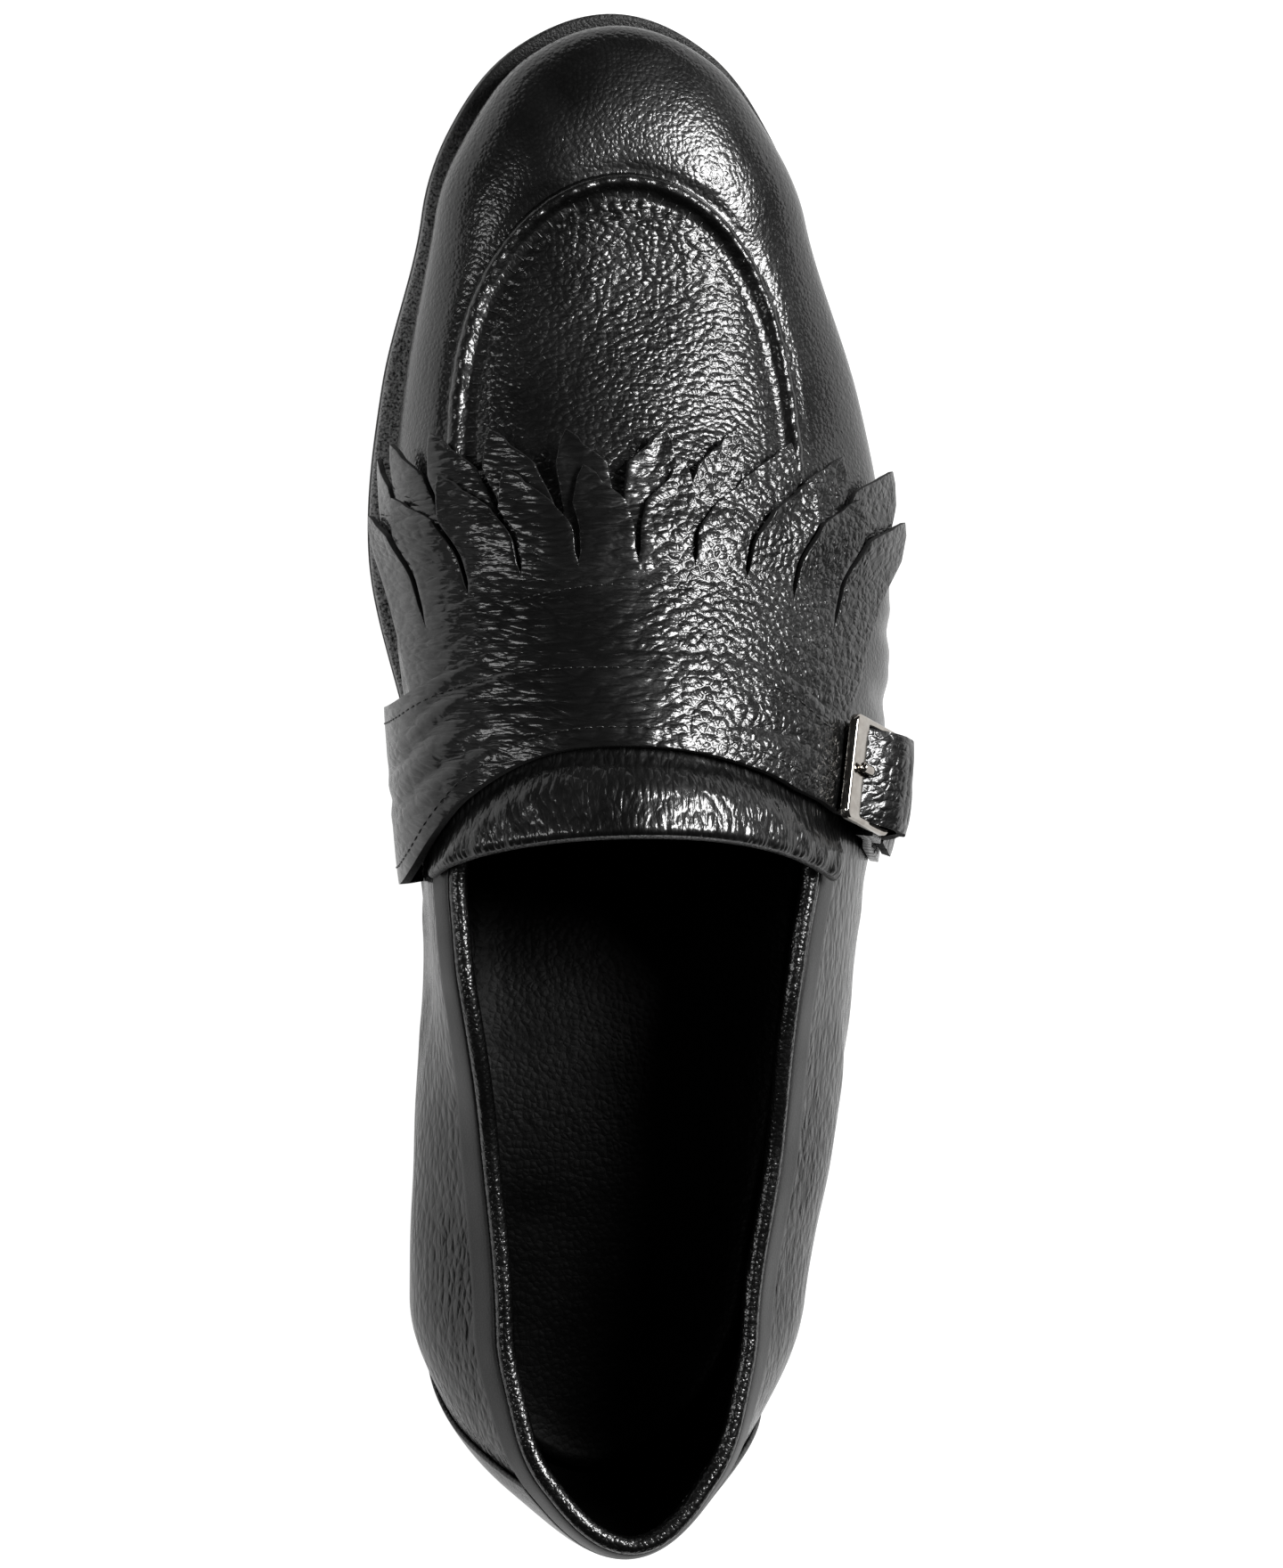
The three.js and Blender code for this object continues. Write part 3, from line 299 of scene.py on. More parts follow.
def v_of_girth(a, y):
    """v at girth a from the ridge (inner side negative) of the section at y."""
    row = np.clip((y - HEEL_TURN) / STRAIGHT * (GIRTH_ROWS - 1), 0, GIRTH_ROWS - 1.001)
    col = np.clip(np.abs(a) / GIRTH_REACH * (GIRTH_COLUMNS - 1), 0, GIRTH_COLUMNS - 1.001)
    i = row.astype(int)
    j = col.astype(int)
    s = row - i
    t = col - j
    found = []
    for side in (-1, 1):
        table = GIRTH_TABLES[side]
        low = mix(table[i, j], table[i, j + 1], t)
        high = mix(table[i + 1, j], table[i + 1, j + 1], t)
        found.append(mix(low, high, s))
    return np.where(a < 0, found[0], found[1])


def wrap(a, y, height=0.0):
    """Points over the instep by girth from the ridge and place along the shoe."""
    a, y, height = (np.asarray(q, float) for q in np.broadcast_arrays(a, y, height))
    side = np.where(a < 0, -1.0, 1.0)
    return skin(straight_at(y), side, v_of_girth(a, y), height)


HALVINGS = 24


def collar_height(y):
    return feather_height(y) + COLLAR_RISE * spline(y / LENGTH, COLLAR[:, 0], COLLAR[:, 1])


def collar_v(at, side, height=0.0):
    at, side = (np.asarray(q, float) for q in np.broadcast_arrays(at, side))
    low = np.ones(at.shape)
    high = np.full(at.shape, 3.0)
    for _ in range(HALVINGS):
        v = (low + high) / 2
        point = skin(at, side, v, height)
        below = point[..., 2] < collar_height(point[..., 1])
        low = np.where(below, v, low)
        high = np.where(below, high, v)
    return np.where(low > 3 - 1e-5, 3.0, low)


def v_below(at, side, v, depth):
    """v of the point that lies depth below another one along its column."""
    probe = 0.05
    speed = np.linalg.norm(on_last(at, side, v) - on_last(at, side, v - probe), axis=-1) / probe
    return v - depth / speed


def around(u):
    """Column and side from u: inner side toe to heel, then outer side heel to toe."""
    w = 2 * u - 1
    side = np.where(w < 0, -1.0, 1.0)
    return at_of_travel(np.abs(w) * TRAVEL_KEYS[-1]), side


# Making meshes

def grid(columns, rows, place, zone=None):
    """A bmesh grid whose corners go to place(u, v), which gives points and the grain's u and v;
    zone(u, v) gives the material number of the face there."""
    bm = bmesh.new()
    bmesh.ops.create_grid(bm, x_segments=columns, y_segments=rows, size=1)
    bm.verts.index_update()
    flat = np.array([corner.co[:2] for corner in bm.verts])
    u = (flat[:, 0] + 1) / 2
    v = (flat[:, 1] + 1) / 2
    points, grain = place(u, v)
    points = points - np.array([0, HEEL_REST, 0])
    for corner, point in zip(bm.verts, points):
        corner.co = point
    layer = bm.loops.layers.uv.new("grain")
    numbers = None if zone is None else zone(u, v)
    for face in bm.faces:
        for loop in face.loops:
            loop[layer].uv = grain[loop.vert.index]
        if zone is not None:
            face.material_index = int(min(numbers[corner.index] for corner in face.verts))
    return bm


MERGE = 1e-6
FOOT_CORE = 30 * MM


def join_into(bm, other):
    mesh = bpy.data.meshes.new("joined")
    other.to_mesh(mesh)
    other.free()
    bm.from_mesh(mesh)
    bpy.data.meshes.remove(mesh)


def face_outwards(bm):
    """Turns an open sheet so that its faces look away from the middle of the foot."""
    total = 0
    for face in bm.faces:
        middle = face.calc_center_median()
        y = middle.y + HEEL_REST
        away = Vector((middle.x, y - min(max(y, HEEL_TURN), TOE_TURN), middle.z - FOOT_CORE))
        total += face.normal.dot(away) * face.calc_area()
    if total < 0:
        bmesh.ops.reverse_faces(bm, faces=bm.faces)


def make_piece(bm, name, materials, replaced=(), closed=False):
    """Ends a bmesh as an object on the root and the solids that it replaces."""
    bmesh.ops.remove_doubles(bm, verts=bm.verts, dist=MERGE)
    bmesh.ops.dissolve_degenerate(bm, edges=bm.edges, dist=MERGE / 2)
    bm.normal_update()
    if closed:
        bmesh.ops.recalc_face_normals(bm, faces=bm.faces)
    else:
        face_outwards(bm)
    mesh = bpy.data.meshes.new(name)
    bm.to_mesh(mesh)
    bm.free()
    mesh.shade_smooth()
    for material in materials:
        mesh.materials.append(material)
    piece = bpy.data.objects.new(name, mesh)
    bpy.context.scene.collection.objects.link(piece)
    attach(piece, "root")
    if replaced:
        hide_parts(*replaced)
    return piece


def thicken(piece, thickness, offset=1.0, inner_slot=0, rim_slot=0):
    solid = piece.modifiers.new("wall", "SOLIDIFY")
    solid.thickness = thickness
    solid.offset = offset
    solid.material_offset = inner_slot
    solid.material_offset_rim = rim_slot


def soften(piece, width, segments=2):
    """Rounds the cut edges of a thickened sheet."""
    bevel = piece.modifiers.new("cut edge", "BEVEL")
    bevel.width = width
    bevel.segments = segments
    bevel.limit_method = "ANGLE"
    bevel.angle_limit = math.radians(50)


# Materials

def linear(hex_code):
    """sRGB hex to the linear colour that the shader wants."""
    channels = [int(hex_code[i:i + 2], 16) / 255 for i in (1, 3, 5)]
    return [c / 12.92 if c <= 0.04045 else ((c + 0.055) / 1.055) ** 2.4 for c in channels] + [1]


def node(tree, kind, sockets=None, **settings):
    """Adds a node; a socket's value is a number, a colour or another node's output."""
    made = tree.nodes.new(kind)
    for key, value in settings.items():
        setattr(made, key, value)
    for key, value in (sockets or {}).items():
        if isinstance(value, bpy.types.NodeSocket):
            tree.links.new(value, made.inputs[key])
        else:
            made.inputs[key].default_value = value
    return made


def new_material(name):
    material = bpy.data.materials.new(name)
    material.use_nodes = True
    material.node_tree.nodes.clear()
    return material, material.node_tree


def leather(name, pebble, depth, colour, roughness, stretch=(1, 1, 1), coat=0.8, by_grain=False,
            coat_roughness=0.08, shine=0.3):
    """Drum-dyed calf, shrunk to a pebble grain and polished: flat-topped pebbles between narrow
    creases, each with its own glint. pebble is their spacing and depth their relief, in metres."""
    material, tree = new_material(name)
    coords = node(tree, "ShaderNodeTexCoord")
    start = coords.outputs["UV"] if by_grain else coords.outputs["Object"]
    scaled = node(tree, "ShaderNodeMapping", {"Vector": start, "Scale": stretch}).outputs[0]
    drift = node(tree, "ShaderNodeTexNoise", {"Vector": scaled, "Scale": 0.4 / pebble, "Detail": 1})
    centred = node(tree, "ShaderNodeVectorMath", {0: drift.outputs["Color"], 1: (0.5, 0.5, 0.5)},
                   operation="SUBTRACT").outputs[0]
    shift = node(tree, "ShaderNodeVectorMath", {0: centred, "Scale": 0.9 * pebble},
                 operation="SCALE").outputs[0]
    warped = node(tree, "ShaderNodeVectorMath", {0: scaled, 1: shift}, operation="ADD").outputs[0]
    creases = node(tree, "ShaderNodeTexVoronoi", {"Vector": warped, "Scale": 1 / pebble, "Randomness": 0.9},
                   feature="DISTANCE_TO_EDGE")
    flat_tops = node(tree, "ShaderNodeMapRange", {0: creases.outputs["Distance"], 1: 0.0, 2: 0.26},
                     interpolation_type="SMOOTHERSTEP")
    domes = node(tree, "ShaderNodeTexVoronoi", {"Vector": warped, "Scale": 1 / pebble, "Randomness": 0.9},
                 feature="SMOOTH_F1")
    wander = node(tree, "ShaderNodeTexNoise", {
        "Vector": scaled, "Scale": 0.55 / pebble, "Detail": 3, "Roughness": 0.6})
    hairs = node(tree, "ShaderNodeTexNoise", {"Vector": scaled, "Scale": 3.1 / pebble, "Detail": 2})
    patch = node(tree, "ShaderNodeTexNoise", {"Vector": start, "Scale": 60, "Detail": 2})
    amount = node(tree, "ShaderNodeMapRange", {0: patch.outputs[0], 1: 0.38, 2: 0.62, 3: 0.7, 4: 1.0})
    height = node(tree, "ShaderNodeMath", {0: domes.outputs["Distance"], 1: -1.2, 2: 0.0},
                  operation="MULTIPLY_ADD")
    height = node(tree, "ShaderNodeMath", {0: flat_tops.outputs[0], 1: 0.22, 2: height.outputs[0]},
                  operation="MULTIPLY_ADD")
    height = node(tree, "ShaderNodeMath", {0: height.outputs[0], 1: amount.outputs[0]},
                  operation="MULTIPLY")
    height = node(tree, "ShaderNodeMath", {0: wander.outputs[0], 1: 1.1, 2: height.outputs[0]},
                  operation="MULTIPLY_ADD")
    height = node(tree, "ShaderNodeMath", {0: hairs.outputs[0], 1: 0.18, 2: height.outputs[0]},
                  operation="MULTIPLY_ADD")
    bump = node(tree, "ShaderNodeBump", {"Height": height.outputs[0], "Distance": depth, "Strength": 1.0})
    # Painted shade: the creases take the first, darker colour and the pebble tops the second.
    tint = node(tree, "ShaderNodeMixRGB", {
        0: flat_tops.outputs[0], 1: linear(colour[0]), 2: linear(colour[1])})
    gloss = node(tree, "ShaderNodeMapRange", {0: patch.outputs[0], 1: 0.35, 2: 0.65,
                                              3: roughness * 0.85, 4: roughness * 1.2})
    shader = node(tree, "ShaderNodeBsdfPrincipled", {
        "Base Color": tint.outputs[0], "Roughness": gloss.outputs[0], "Normal": bump.outputs[0],
        "Specular IOR Level": shine, "Coat Weight": coat, "Coat Roughness": coat_roughness,
        "Coat Normal": bump.outputs[0], "IOR": 1.5,
    })
    node(tree, "ShaderNodeOutputMaterial", {"Surface": shader.outputs[0]})
    return material


def plain(name, colour, roughness, metallic=0.0, grit=0.5 * MM, relief=0.02 * MM, dark_from=None):
    """A plain finish with a fine tooth, for thread, rubber, edges and plated metal. Past the
    place dark_from along the shoe it goes as dark as its first colour."""
    material, tree = new_material(name)
    coords = node(tree, "ShaderNodeTexCoord")
    tooth = node(tree, "ShaderNodeTexNoise", {
        "Vector": coords.outputs["Object"], "Scale": 1 / grit, "Detail": 3})
    bump = node(tree, "ShaderNodeBump", {"Height": tooth.outputs[0], "Distance": relief, "Strength": 1.0})
    gloss = node(tree, "ShaderNodeMapRange", {0: tooth.outputs[0], 1: 0.3, 2: 0.7,
                                              3: roughness * 0.8, 4: roughness * 1.2})
    share = node(tree, "ShaderNodeMapRange", {0: tooth.outputs[0], 1: 0.35, 2: 0.65}).outputs[0]
    if dark_from is not None:
        along = node(tree, "ShaderNodeSeparateXYZ", {0: coords.outputs["Object"]})
        # Past dark_from the speckle fades to the first, dark colour.
        fade_to_dark = node(tree, "ShaderNodeMapRange", {
            0: along.outputs["Y"], 1: dark_from, 2: dark_from + 30 * MM, 3: 1.0, 4: 0.0})
        share = node(tree, "ShaderNodeMath", {0: share, 1: fade_to_dark.outputs[0]},
                     operation="MULTIPLY").outputs[0]
    tint = node(tree, "ShaderNodeMixRGB", {0: share, 1: linear(colour[0]), 2: linear(colour[1])})
    shader = node(tree, "ShaderNodeBsdfPrincipled", {
        "Base Color": tint.outputs[0], "Roughness": gloss.outputs[0], "Normal": bump.outputs[0],
        "Metallic": metallic,
    })
    node(tree, "ShaderNodeOutputMaterial", {"Surface": shader.outputs[0]})
    return material


# Of each colour pair the first, darker one is painted shade in the creases, the second is the pebble tops'
# colour.
BLACK = ("#030303", "#080808")
# Fine pebbles under a polish: compact glints on the toe, a quiet grain elsewhere
VAMP_CALF = leather("fine_pebbled_calf", 0.95 * MM, 0.09 * MM, BLACK, 0.4)
# Wider pebbles, short along the foot: the lively sparkle of the plug
APRON_CALF = leather("pebbled_calf", 1.3 * MM, 0.2 * MM, BLACK, 0.4, stretch=(0.85, 1.2, 1))
# Grain drawn out by the lasting: long soft glints along the flanks
QUARTER_CALF = leather("drawn_calf", 1.3 * MM, 0.22 * MM, BLACK, 0.4, stretch=(1, 0.4, 0.8))
# Grain that follows the girth, with deep creases: the broken, brushed shine of the strap
STRAP_CALF = leather("creased_calf", 1.4 * MM, 0.3 * MM, BLACK, 0.4, by_grain=True)
# The same hide on the strands: each one glints along its own lie
FRINGE_CALF = leather("fringe_calf", 1.25 * MM, 0.28 * MM, BLACK, 0.4, by_grain=True)
# Grain drawn out over the roll: short bright bars along the rear edge
TONGUE_CALF = leather("tongue_calf", 1.2 * MM, 0.24 * MM, BLACK, 0.4, stretch=(1, 0.55, 1), by_grain=True)
# Small pebbles stretched over the bound edge: a thin line of light round the mouth
BEAD_CALF = leather("binding_calf", 0.9 * MM, 0.13 * MM, BLACK, 0.35)
# Loose, deep pebbles: scattered glints just inside the topline
FACING_CALF = leather("turned_in_calf", 1.5 * MM, 0.45 * MM, BLACK, 0.35)
# Lining with hardly any shine, its black set darker than the upper's as painted shade: the mouth reads as a
# dark hollow
LINING_CALF = leather("lining_calf", 1.1 * MM, 0.1 * MM, ("#020202", "#040404"), 0.5, coat=0.0, shine=0.08)
# The sock, nearly as dull, its black darkened in the same way as painted shade: its grain is just seen in
# the dark
SOCK_CALF = leather("sock_calf", 1.3 * MM, 0.1 * MM, ("#020202", "#040404"), 0.45, coat=0.0, shine=0.08)
# Smooth satin calf, black, its satin sheen painted in as a grey base colour: a calm grey band beside the
# pebbled quarters, its pores drawn coarse to show
BAND_CALF = leather("smooth_calf", 0.5 * MM, 0.02 * MM, ("#2a2a2a", "#343434"), 0.42, coat=0.15, shine=0.5)
# Wheeled welt, speckled pale grey along the ball and going black towards the toe: a speckled ledge
WELT_LEATHER = plain("wheeled_welt_leather", ("#141414", "#c8c8c8"), 0.5, grit=0.5 * MM, relief=0.3 * MM,
                     dark_from=0.215)
# Inked and waxed sole edge: dull black with a trace of brown
SOLE_LEATHER = plain("edge_inked_sole_leather", ("#0a0908", "#171513"), 0.45, grit=0.9 * MM,
                     relief=0.05 * MM)
# Cut edge of the folded tongue, its ink worn thin: the pale line behind the roll
RAW_EDGE = plain("inked_raw_edge", ("#303030", "#8c8c8c"), 0.5, grit=0.35 * MM, relief=0.12 * MM)
# Blacked edges of strap and strands: dark outlines that part the layers
CUT_EDGE = plain("blacked_cut_edge", ("#020202", "#060606"), 0.75, grit=0.4 * MM, relief=0.05 * MM)
# Moulded rubber of the top piece: matt, without a highlight
HEEL_RUBBER = plain("moulded_heel_rubber", ("#090909", "#141414"), 0.7, grit=0.6 * MM, relief=0.06 * MM)
# Waxed thread: small dark beads with a dull shine
THREAD = plain("waxed_thread", ("#0c0c0c", "#242424"), 0.3, grit=0.25 * MM, relief=0.03 * MM)
# Plated nickel: hard bright and dark bands on the buckle
NICKEL = plain("polished_nickel_plate", ("#b5afa8", "#c9c4bd"), 0.1, metallic=1.0, grit=2 * MM,
               relief=0.004 * MM)


# Line of the apron in plan

APRON_HALF = 0.344 * BALL_WIDTH
APRON_BACK = 0.65 * LENGTH
APRON_APEX = 0.887 * LENGTH
APRON_POWER = 3


def apron_line(count, offset=0.0):
    """Plan places along the apron from the inner side round the toe, offset outwards from it."""
    w = np.linspace(-1, 1, count)
    t = 1 - w ** 2
    x = np.sign(w) * APRON_HALF * np.sqrt(np.maximum(1 - t ** APRON_POWER, 0))
    xy = np.stack([x, mix(APRON_BACK, APRON_APEX, t)], -1)
    across = np.gradient(xy, axis=0)
    across /= np.linalg.norm(across, axis=1, keepdims=True)
    return xy + np.stack([-across[:, 1], across[:, 0]], -1) * offset


APRON_SAMPLES = apron_line(241)


def apron_distance(points):
    """Distance in plan from the apron line, negative inside it."""
    xy = points[..., :2].reshape(-1, 2)
    away = np.linalg.norm(xy[:, None, :] - APRON_SAMPLES[None, :, :], axis=-1).min(axis=1)
    t = np.clip((xy[:, 1] - APRON_BACK) / (APRON_APEX - APRON_BACK), 0, 1)
    half = APRON_HALF * np.sqrt(1 - t ** APRON_POWER)
    inside = (np.abs(xy[:, 0]) < half) & (xy[:, 1] < APRON_APEX)
    return np.where(inside, -away, away).reshape(points.shape[:-1])


# Upper

UPPER_COLUMNS = 460
UPPER_ROWS = 84
VALLEY_INSIDE = 3.1 * MM
VALLEY_HALF = 1.9 * MM
VALLEY_DEPTH = 0.7 * MM
GROOVE_OUTSIDE = 2.3 * MM
GROOVE_HALF = 1.1 * MM
GROOVE_DEPTH = 0.5 * MM

LEVEL_SPAN = 40 * MM
CREASE_COLUMNS = np.array([LENGTH, LEVEL_SPAN, LENGTH, LEVEL_SPAN, MM, MM])

# Creases: y of LENGTH and level v at both ends, depth and half width in mm
INNER_CREASES = CREASE_COLUMNS * np.array([
    (.50, 1.05, .53, 1.75, .45, 2.2), (.545, .80, .575, 1.70, .55, 2.6), (.59, .70, .605, 1.60, .50, 2.4),
    (.64, .60, .645, 1.50, .45, 2.6), (.40, .70, .45, 1.30, .40, 2.8), (.30, 1.00, .37, 1.35, .35, 3.0),
    (.665, 2.30, .655, 3.00, .30, 3.0),
])
OUTER_CREASES = CREASE_COLUMNS * np.array([
    (.49, .95, .51, 1.55, .45, 2.4), (.535, .80, .56, 1.65, .55, 2.6), (.585, .70, .60, 1.55, .50, 2.4),
    (.635, .65, .645, 1.50, .40, 2.6), (.38, .75, .44, 1.30, .40, 2.8), (.29, 1.00, .36, 1.40, .35, 3.0),
    (.675, 2.30, .660, 3.00, .30, 3.0),
])
CREASE_END = 0.3
SWELL = 0.12 * MM
SWELL_ACROSS = 210
SWELL_ALONG = 150
SWELL_LEAN = 60
SWELL_BEND = 90
RIDGE_PLACE = 1.9
RIDGE_HALF = 0.8
RIDGE_SHARE = 0.45


def troughs(creases, p, q):
    """Each crease is a soft trough with a low ridge on both sides, fading towards its ends."""
    total = np.zeros(np.broadcast(p, q).shape)
    for p0, q0, p1, q1, depth, half in creases:
        length = math.hypot(p1 - p0, q1 - q0)
        way_p = (p1 - p0) / length
        way_q = (q1 - q0) / length
        along = ((p - p0) * way_p + (q - q0) * way_q) / length
        across = np.abs((p - p0) * way_q - (q - q0) * way_p) / half
        ends = ease(along / CREASE_END) * ease((1 - along) / CREASE_END)
        ridge = RIDGE_SHARE * np.exp(-((across - RIDGE_PLACE) / RIDGE_HALF) ** 2)
        total += depth * ends * (ridge - np.exp(-across ** 2))
    return total


def upper_relief(points, side, v):
    """Swells of the stretched leather, its creases, and the hollows beside the apron seam."""
    x, y, z = points[..., 0], points[..., 1], points[..., 2]
    bend = np.sin(y * SWELL_BEND) * 1.6
    swell = SWELL * np.sin(x * SWELL_ACROSS + bend) * np.sin(y * SWELL_ALONG + x * SWELL_LEAN)
    fade = ease((z - 25 * MM) / (10 * MM))
    level = v * LEVEL_SPAN
    creases = np.where(side < 0, troughs(INNER_CREASES, y, level), troughs(OUTER_CREASES, y, level))
    away = apron_distance(points)
    seam = ease((y - APRON_BACK) / (6 * MM))
    valley = VALLEY_DEPTH * np.exp(-((away + VALLEY_INSIDE) / VALLEY_HALF) ** 2)
    groove = GROOVE_DEPTH * np.exp(-((away - GROOVE_OUTSIDE) / GROOVE_HALF) ** 2)
    return swell * fade + creases - seam * (valley + groove)


APRON_ZONE = 1
QUARTER_ZONE = 2
QUARTER_FRONT = 0.5 * LENGTH

# The slivers where all columns meet over the toe are merged, so that the wall's inner face stays inside
TOE_TOP = 40 * MM
POLE_REACH = 2.5 * MM
POLE_MERGE = 0.6 * MM


def upper_wall():
    def place(u, s):
        at, side = around(u)
        top = collar_v(at, side)
        v = top * s
        points = skin(at, side, v)
        points = points + skin_normal(at, side, v) * upper_relief(points, side, v)[..., None]
        return points, np.stack([travel(at) * side, v * LEVEL_SPAN], -1)

    def zone(u, s):
        at, side = around(u)
        points = on_last(at, side, collar_v(at, side) * s)
        apron = (apron_distance(points) < 0) & (points[:, 1] > APRON_BACK)
        return np.where(apron, APRON_ZONE, np.where(points[:, 1] < QUARTER_FRONT, QUARTER_ZONE, 0))
    bm = grid(UPPER_COLUMNS, UPPER_ROWS, place, zone)
    pole = Vector((0, TOE_TURN - HEEL_REST, TOE_TOP))
    near_pole = [corner for corner in bm.verts if (corner.co - pole).length < POLE_REACH]
    bmesh.ops.remove_doubles(bm, verts=near_pole, dist=POLE_MERGE)
    outside = [VAMP_CALF, APRON_CALF, QUARTER_CALF]
    piece = make_piece(bm, "upper_wall", outside + [LINING_CALF] * len(outside), ["upper"])
    thicken(piece, WALL, offset=-1.0, inner_slot=len(outside))
    return piece


UPPER = upper_wall()


def surface_tree():
    """The upper's outer face, to set seams and threads on it."""
    bm = bmesh.new()
    bm.from_mesh(UPPER.data)
    tree = BVHTree.FromBMesh(bm)
    bm.free()
    return tree


UPPER_TREE = surface_tree()
ABOVE = 0.2


def drop_on(tree, xy):
    """Points and normals where upright lines through plan places meet a surface."""
    points = []
    normals = []
    for x, y in xy:
        hit, normal, _, _ = tree.ray_cast(Vector((x, y - HEEL_REST, ABOVE)), Vector((0, 0, -1)))
        if hit is None:
            hit, normal, _, _ = tree.find_nearest(Vector((x, y - HEEL_REST, TOE_TOP)))
        if normal.z < 0:
            normal = -normal
        points.append((hit.x, hit.y + HEEL_REST, hit.z))
        normals.append(tuple(normal))
    return np.array(points), np.array(normals)


# Collar: smooth band, bound edge

BAND = 6.2 * MM
BAND_LEATHER = 0.8 * MM
BAND_END = 0.465 * LENGTH
BAND_EDGE = 1.6 * MM
BAND_SUNK = 0.05 * MM
BAND_PROUD = 0.25 * MM
COLLAR_COLUMNS = 360


def band_at(u):
    """Column and side along the collar, from the inner throat round the heel to the outer one."""
    end = travel(straight_at(BAND_END))
    w = (2 * u - 1) * end
    return at_of_travel(np.abs(w)), np.where(w < 0, -1.0, 1.0)


def collar_band():
    def place(u, s):
        at, side = band_at(u)
        top = collar_v(at, side)
        v = v_below(at, side, top, BAND * (1 - s))
        fall = ease((1 - s) * BAND / BAND_EDGE)
        points = skin(at, side, v, BAND_SUNK + BAND_PROUD * fall)
        return points, np.stack([travel(at) * side, s * BAND], -1)
    bm = grid(COLLAR_COLUMNS, 6, place)
    piece = make_piece(bm, "collar_band", [BAND_CALF])
    thicken(piece, BAND_LEATHER)
    soften(piece, 0.3 * MM)
    return piece


def tube_piece(name, path, out, side_way, radii, sides, material, replaced):
    """Closed tube along a path; radii are its half sizes along out and side_way."""
    count = len(path)

    def place(u, v):
        i = np.rint(u * (count - 1)).astype(int)
        turn = 2 * math.pi * v
        points = (path[i] + out[i] * (radii[0] * np.cos(turn))[:, None]
                  + side_way[i] * (radii[1] * np.sin(turn))[:, None])
        return points, np.stack([u, v], -1)
    bm = grid(count - 1, sides, place)
    bmesh.ops.remove_doubles(bm, verts=bm.verts, dist=MERGE)
    ends = [edge for edge in bm.edges if edge.is_boundary]
    bmesh.ops.holes_fill(bm, edges=ends, sides=0)
    return make_piece(bm, name, [material], replaced, closed=True)


BINDING_WIDTH = 1.75 * MM
BINDING_HEIGHT = 1.7 * MM
BINDING_RISE = 0.9 * MM


def collar_line(count, height, rise):
    u = np.linspace(0, 1, count)
    at, side = band_at(u)
    v = collar_v(at, side, height)
    points = skin(at, side, v, height)
    points[:, 2] += rise
    return points, skin_normal(at, side, v)


def frames(path, normal):
    """Directions across a path: one near the normal, one beside it."""
    along = np.gradient(path, axis=0)
    along /= np.linalg.norm(along, axis=1, keepdims=True)
    beside = np.cross(along, normal)
    beside /= np.linalg.norm(beside, axis=1, keepdims=True)
    out = np.cross(beside, along)
    return along, out, beside


def collar_binding():
    path, normal = collar_line(420, -WALL / 2, BINDING_RISE)
    _, out, beside = frames(path, normal)
    return tube_piece("collar_binding", path, out, beside, (BINDING_WIDTH, BINDING_HEIGHT), 16,
                      BEAD_CALF, ["collar_bead"])


FACING = 8 * MM
FACING_LEATHER = 0.5 * MM


def collar_facing():
    """Strip of grain leather turned in along the inside of the topline."""
    def place(u, s):
        at, side = band_at(u)
        v = v_below(at, side, collar_v(at, side), FACING * (1 - s))
        return skin(at, side, v, -WALL - FACING_LEATHER), np.stack([travel(at) * side, s * FACING], -1)
    bm = grid(COLLAR_COLUMNS, 8, place)
    piece = make_piece(bm, "collar_facing", [FACING_CALF])
    thicken(piece, FACING_LEATHER)
    return piece


collar_band()
collar_binding()
collar_facing()


# Threads

def thread_row(name, path, normal, pitch, length, radius, turned=0.0):
    """Stitches along a path, each a small rounded length of thread lying on the surface."""
    along, out, beside = frames(path, normal)
    steps = np.linalg.norm(np.diff(path, axis=0), axis=1)
    distance = np.concatenate([[0], np.cumsum(steps)])
    bm = bmesh.new()
    lean = Matrix.Rotation(turned, 3, "Z")
    for place in np.arange(pitch / 2, distance[-1], pitch):
        centre = Vector([np.interp(place, distance, path[:, k]) for k in range(3)])
        i = int(np.searchsorted(distance, place))
        basis = Matrix((along[i], beside[i], out[i])).transposed() @ lean
        size = Matrix.Diagonal((length / 2, radius, radius))
        matrix = (basis @ size).to_4x4()
        matrix.translation = centre - Vector((0, HEEL_REST, 0))
        bmesh.ops.create_uvsphere(bm, u_segments=8, v_segments=6, radius=1, matrix=matrix)
    return make_piece(bm, name, [THREAD], closed=True)


# Heel counter

COUNTER_FOOT_AT = 0.83
COUNTER_TOP_AT = 0.36
COUNTER_FOOT_V = 0.03


def heel_counter():
    def place(u, s):
        w = 2 * u - 1
        at = np.abs(w) * mix(COUNTER_FOOT_AT, COUNTER_TOP_AT, s ** 1.2)
        side = np.where(w < 0, -1.0, 1.0)
        top = v_below(at, side, collar_v(at, side), BAND + 0.2 * MM)
        v = mix(COUNTER_FOOT_V, top, s)
        return skin(at, side, v, SEAT_GAP / 2), np.stack([w * 40 * MM, s * 40 * MM], -1)
    bm = grid(90, 44, place)
    piece = make_piece(bm, "counter_patch", [VAMP_CALF], ["heel_counter"])
    thicken(piece, COUNTER_LEATHER)
    soften(piece, 0.35 * MM)
    return piece


heel_counter()


# Apron seam

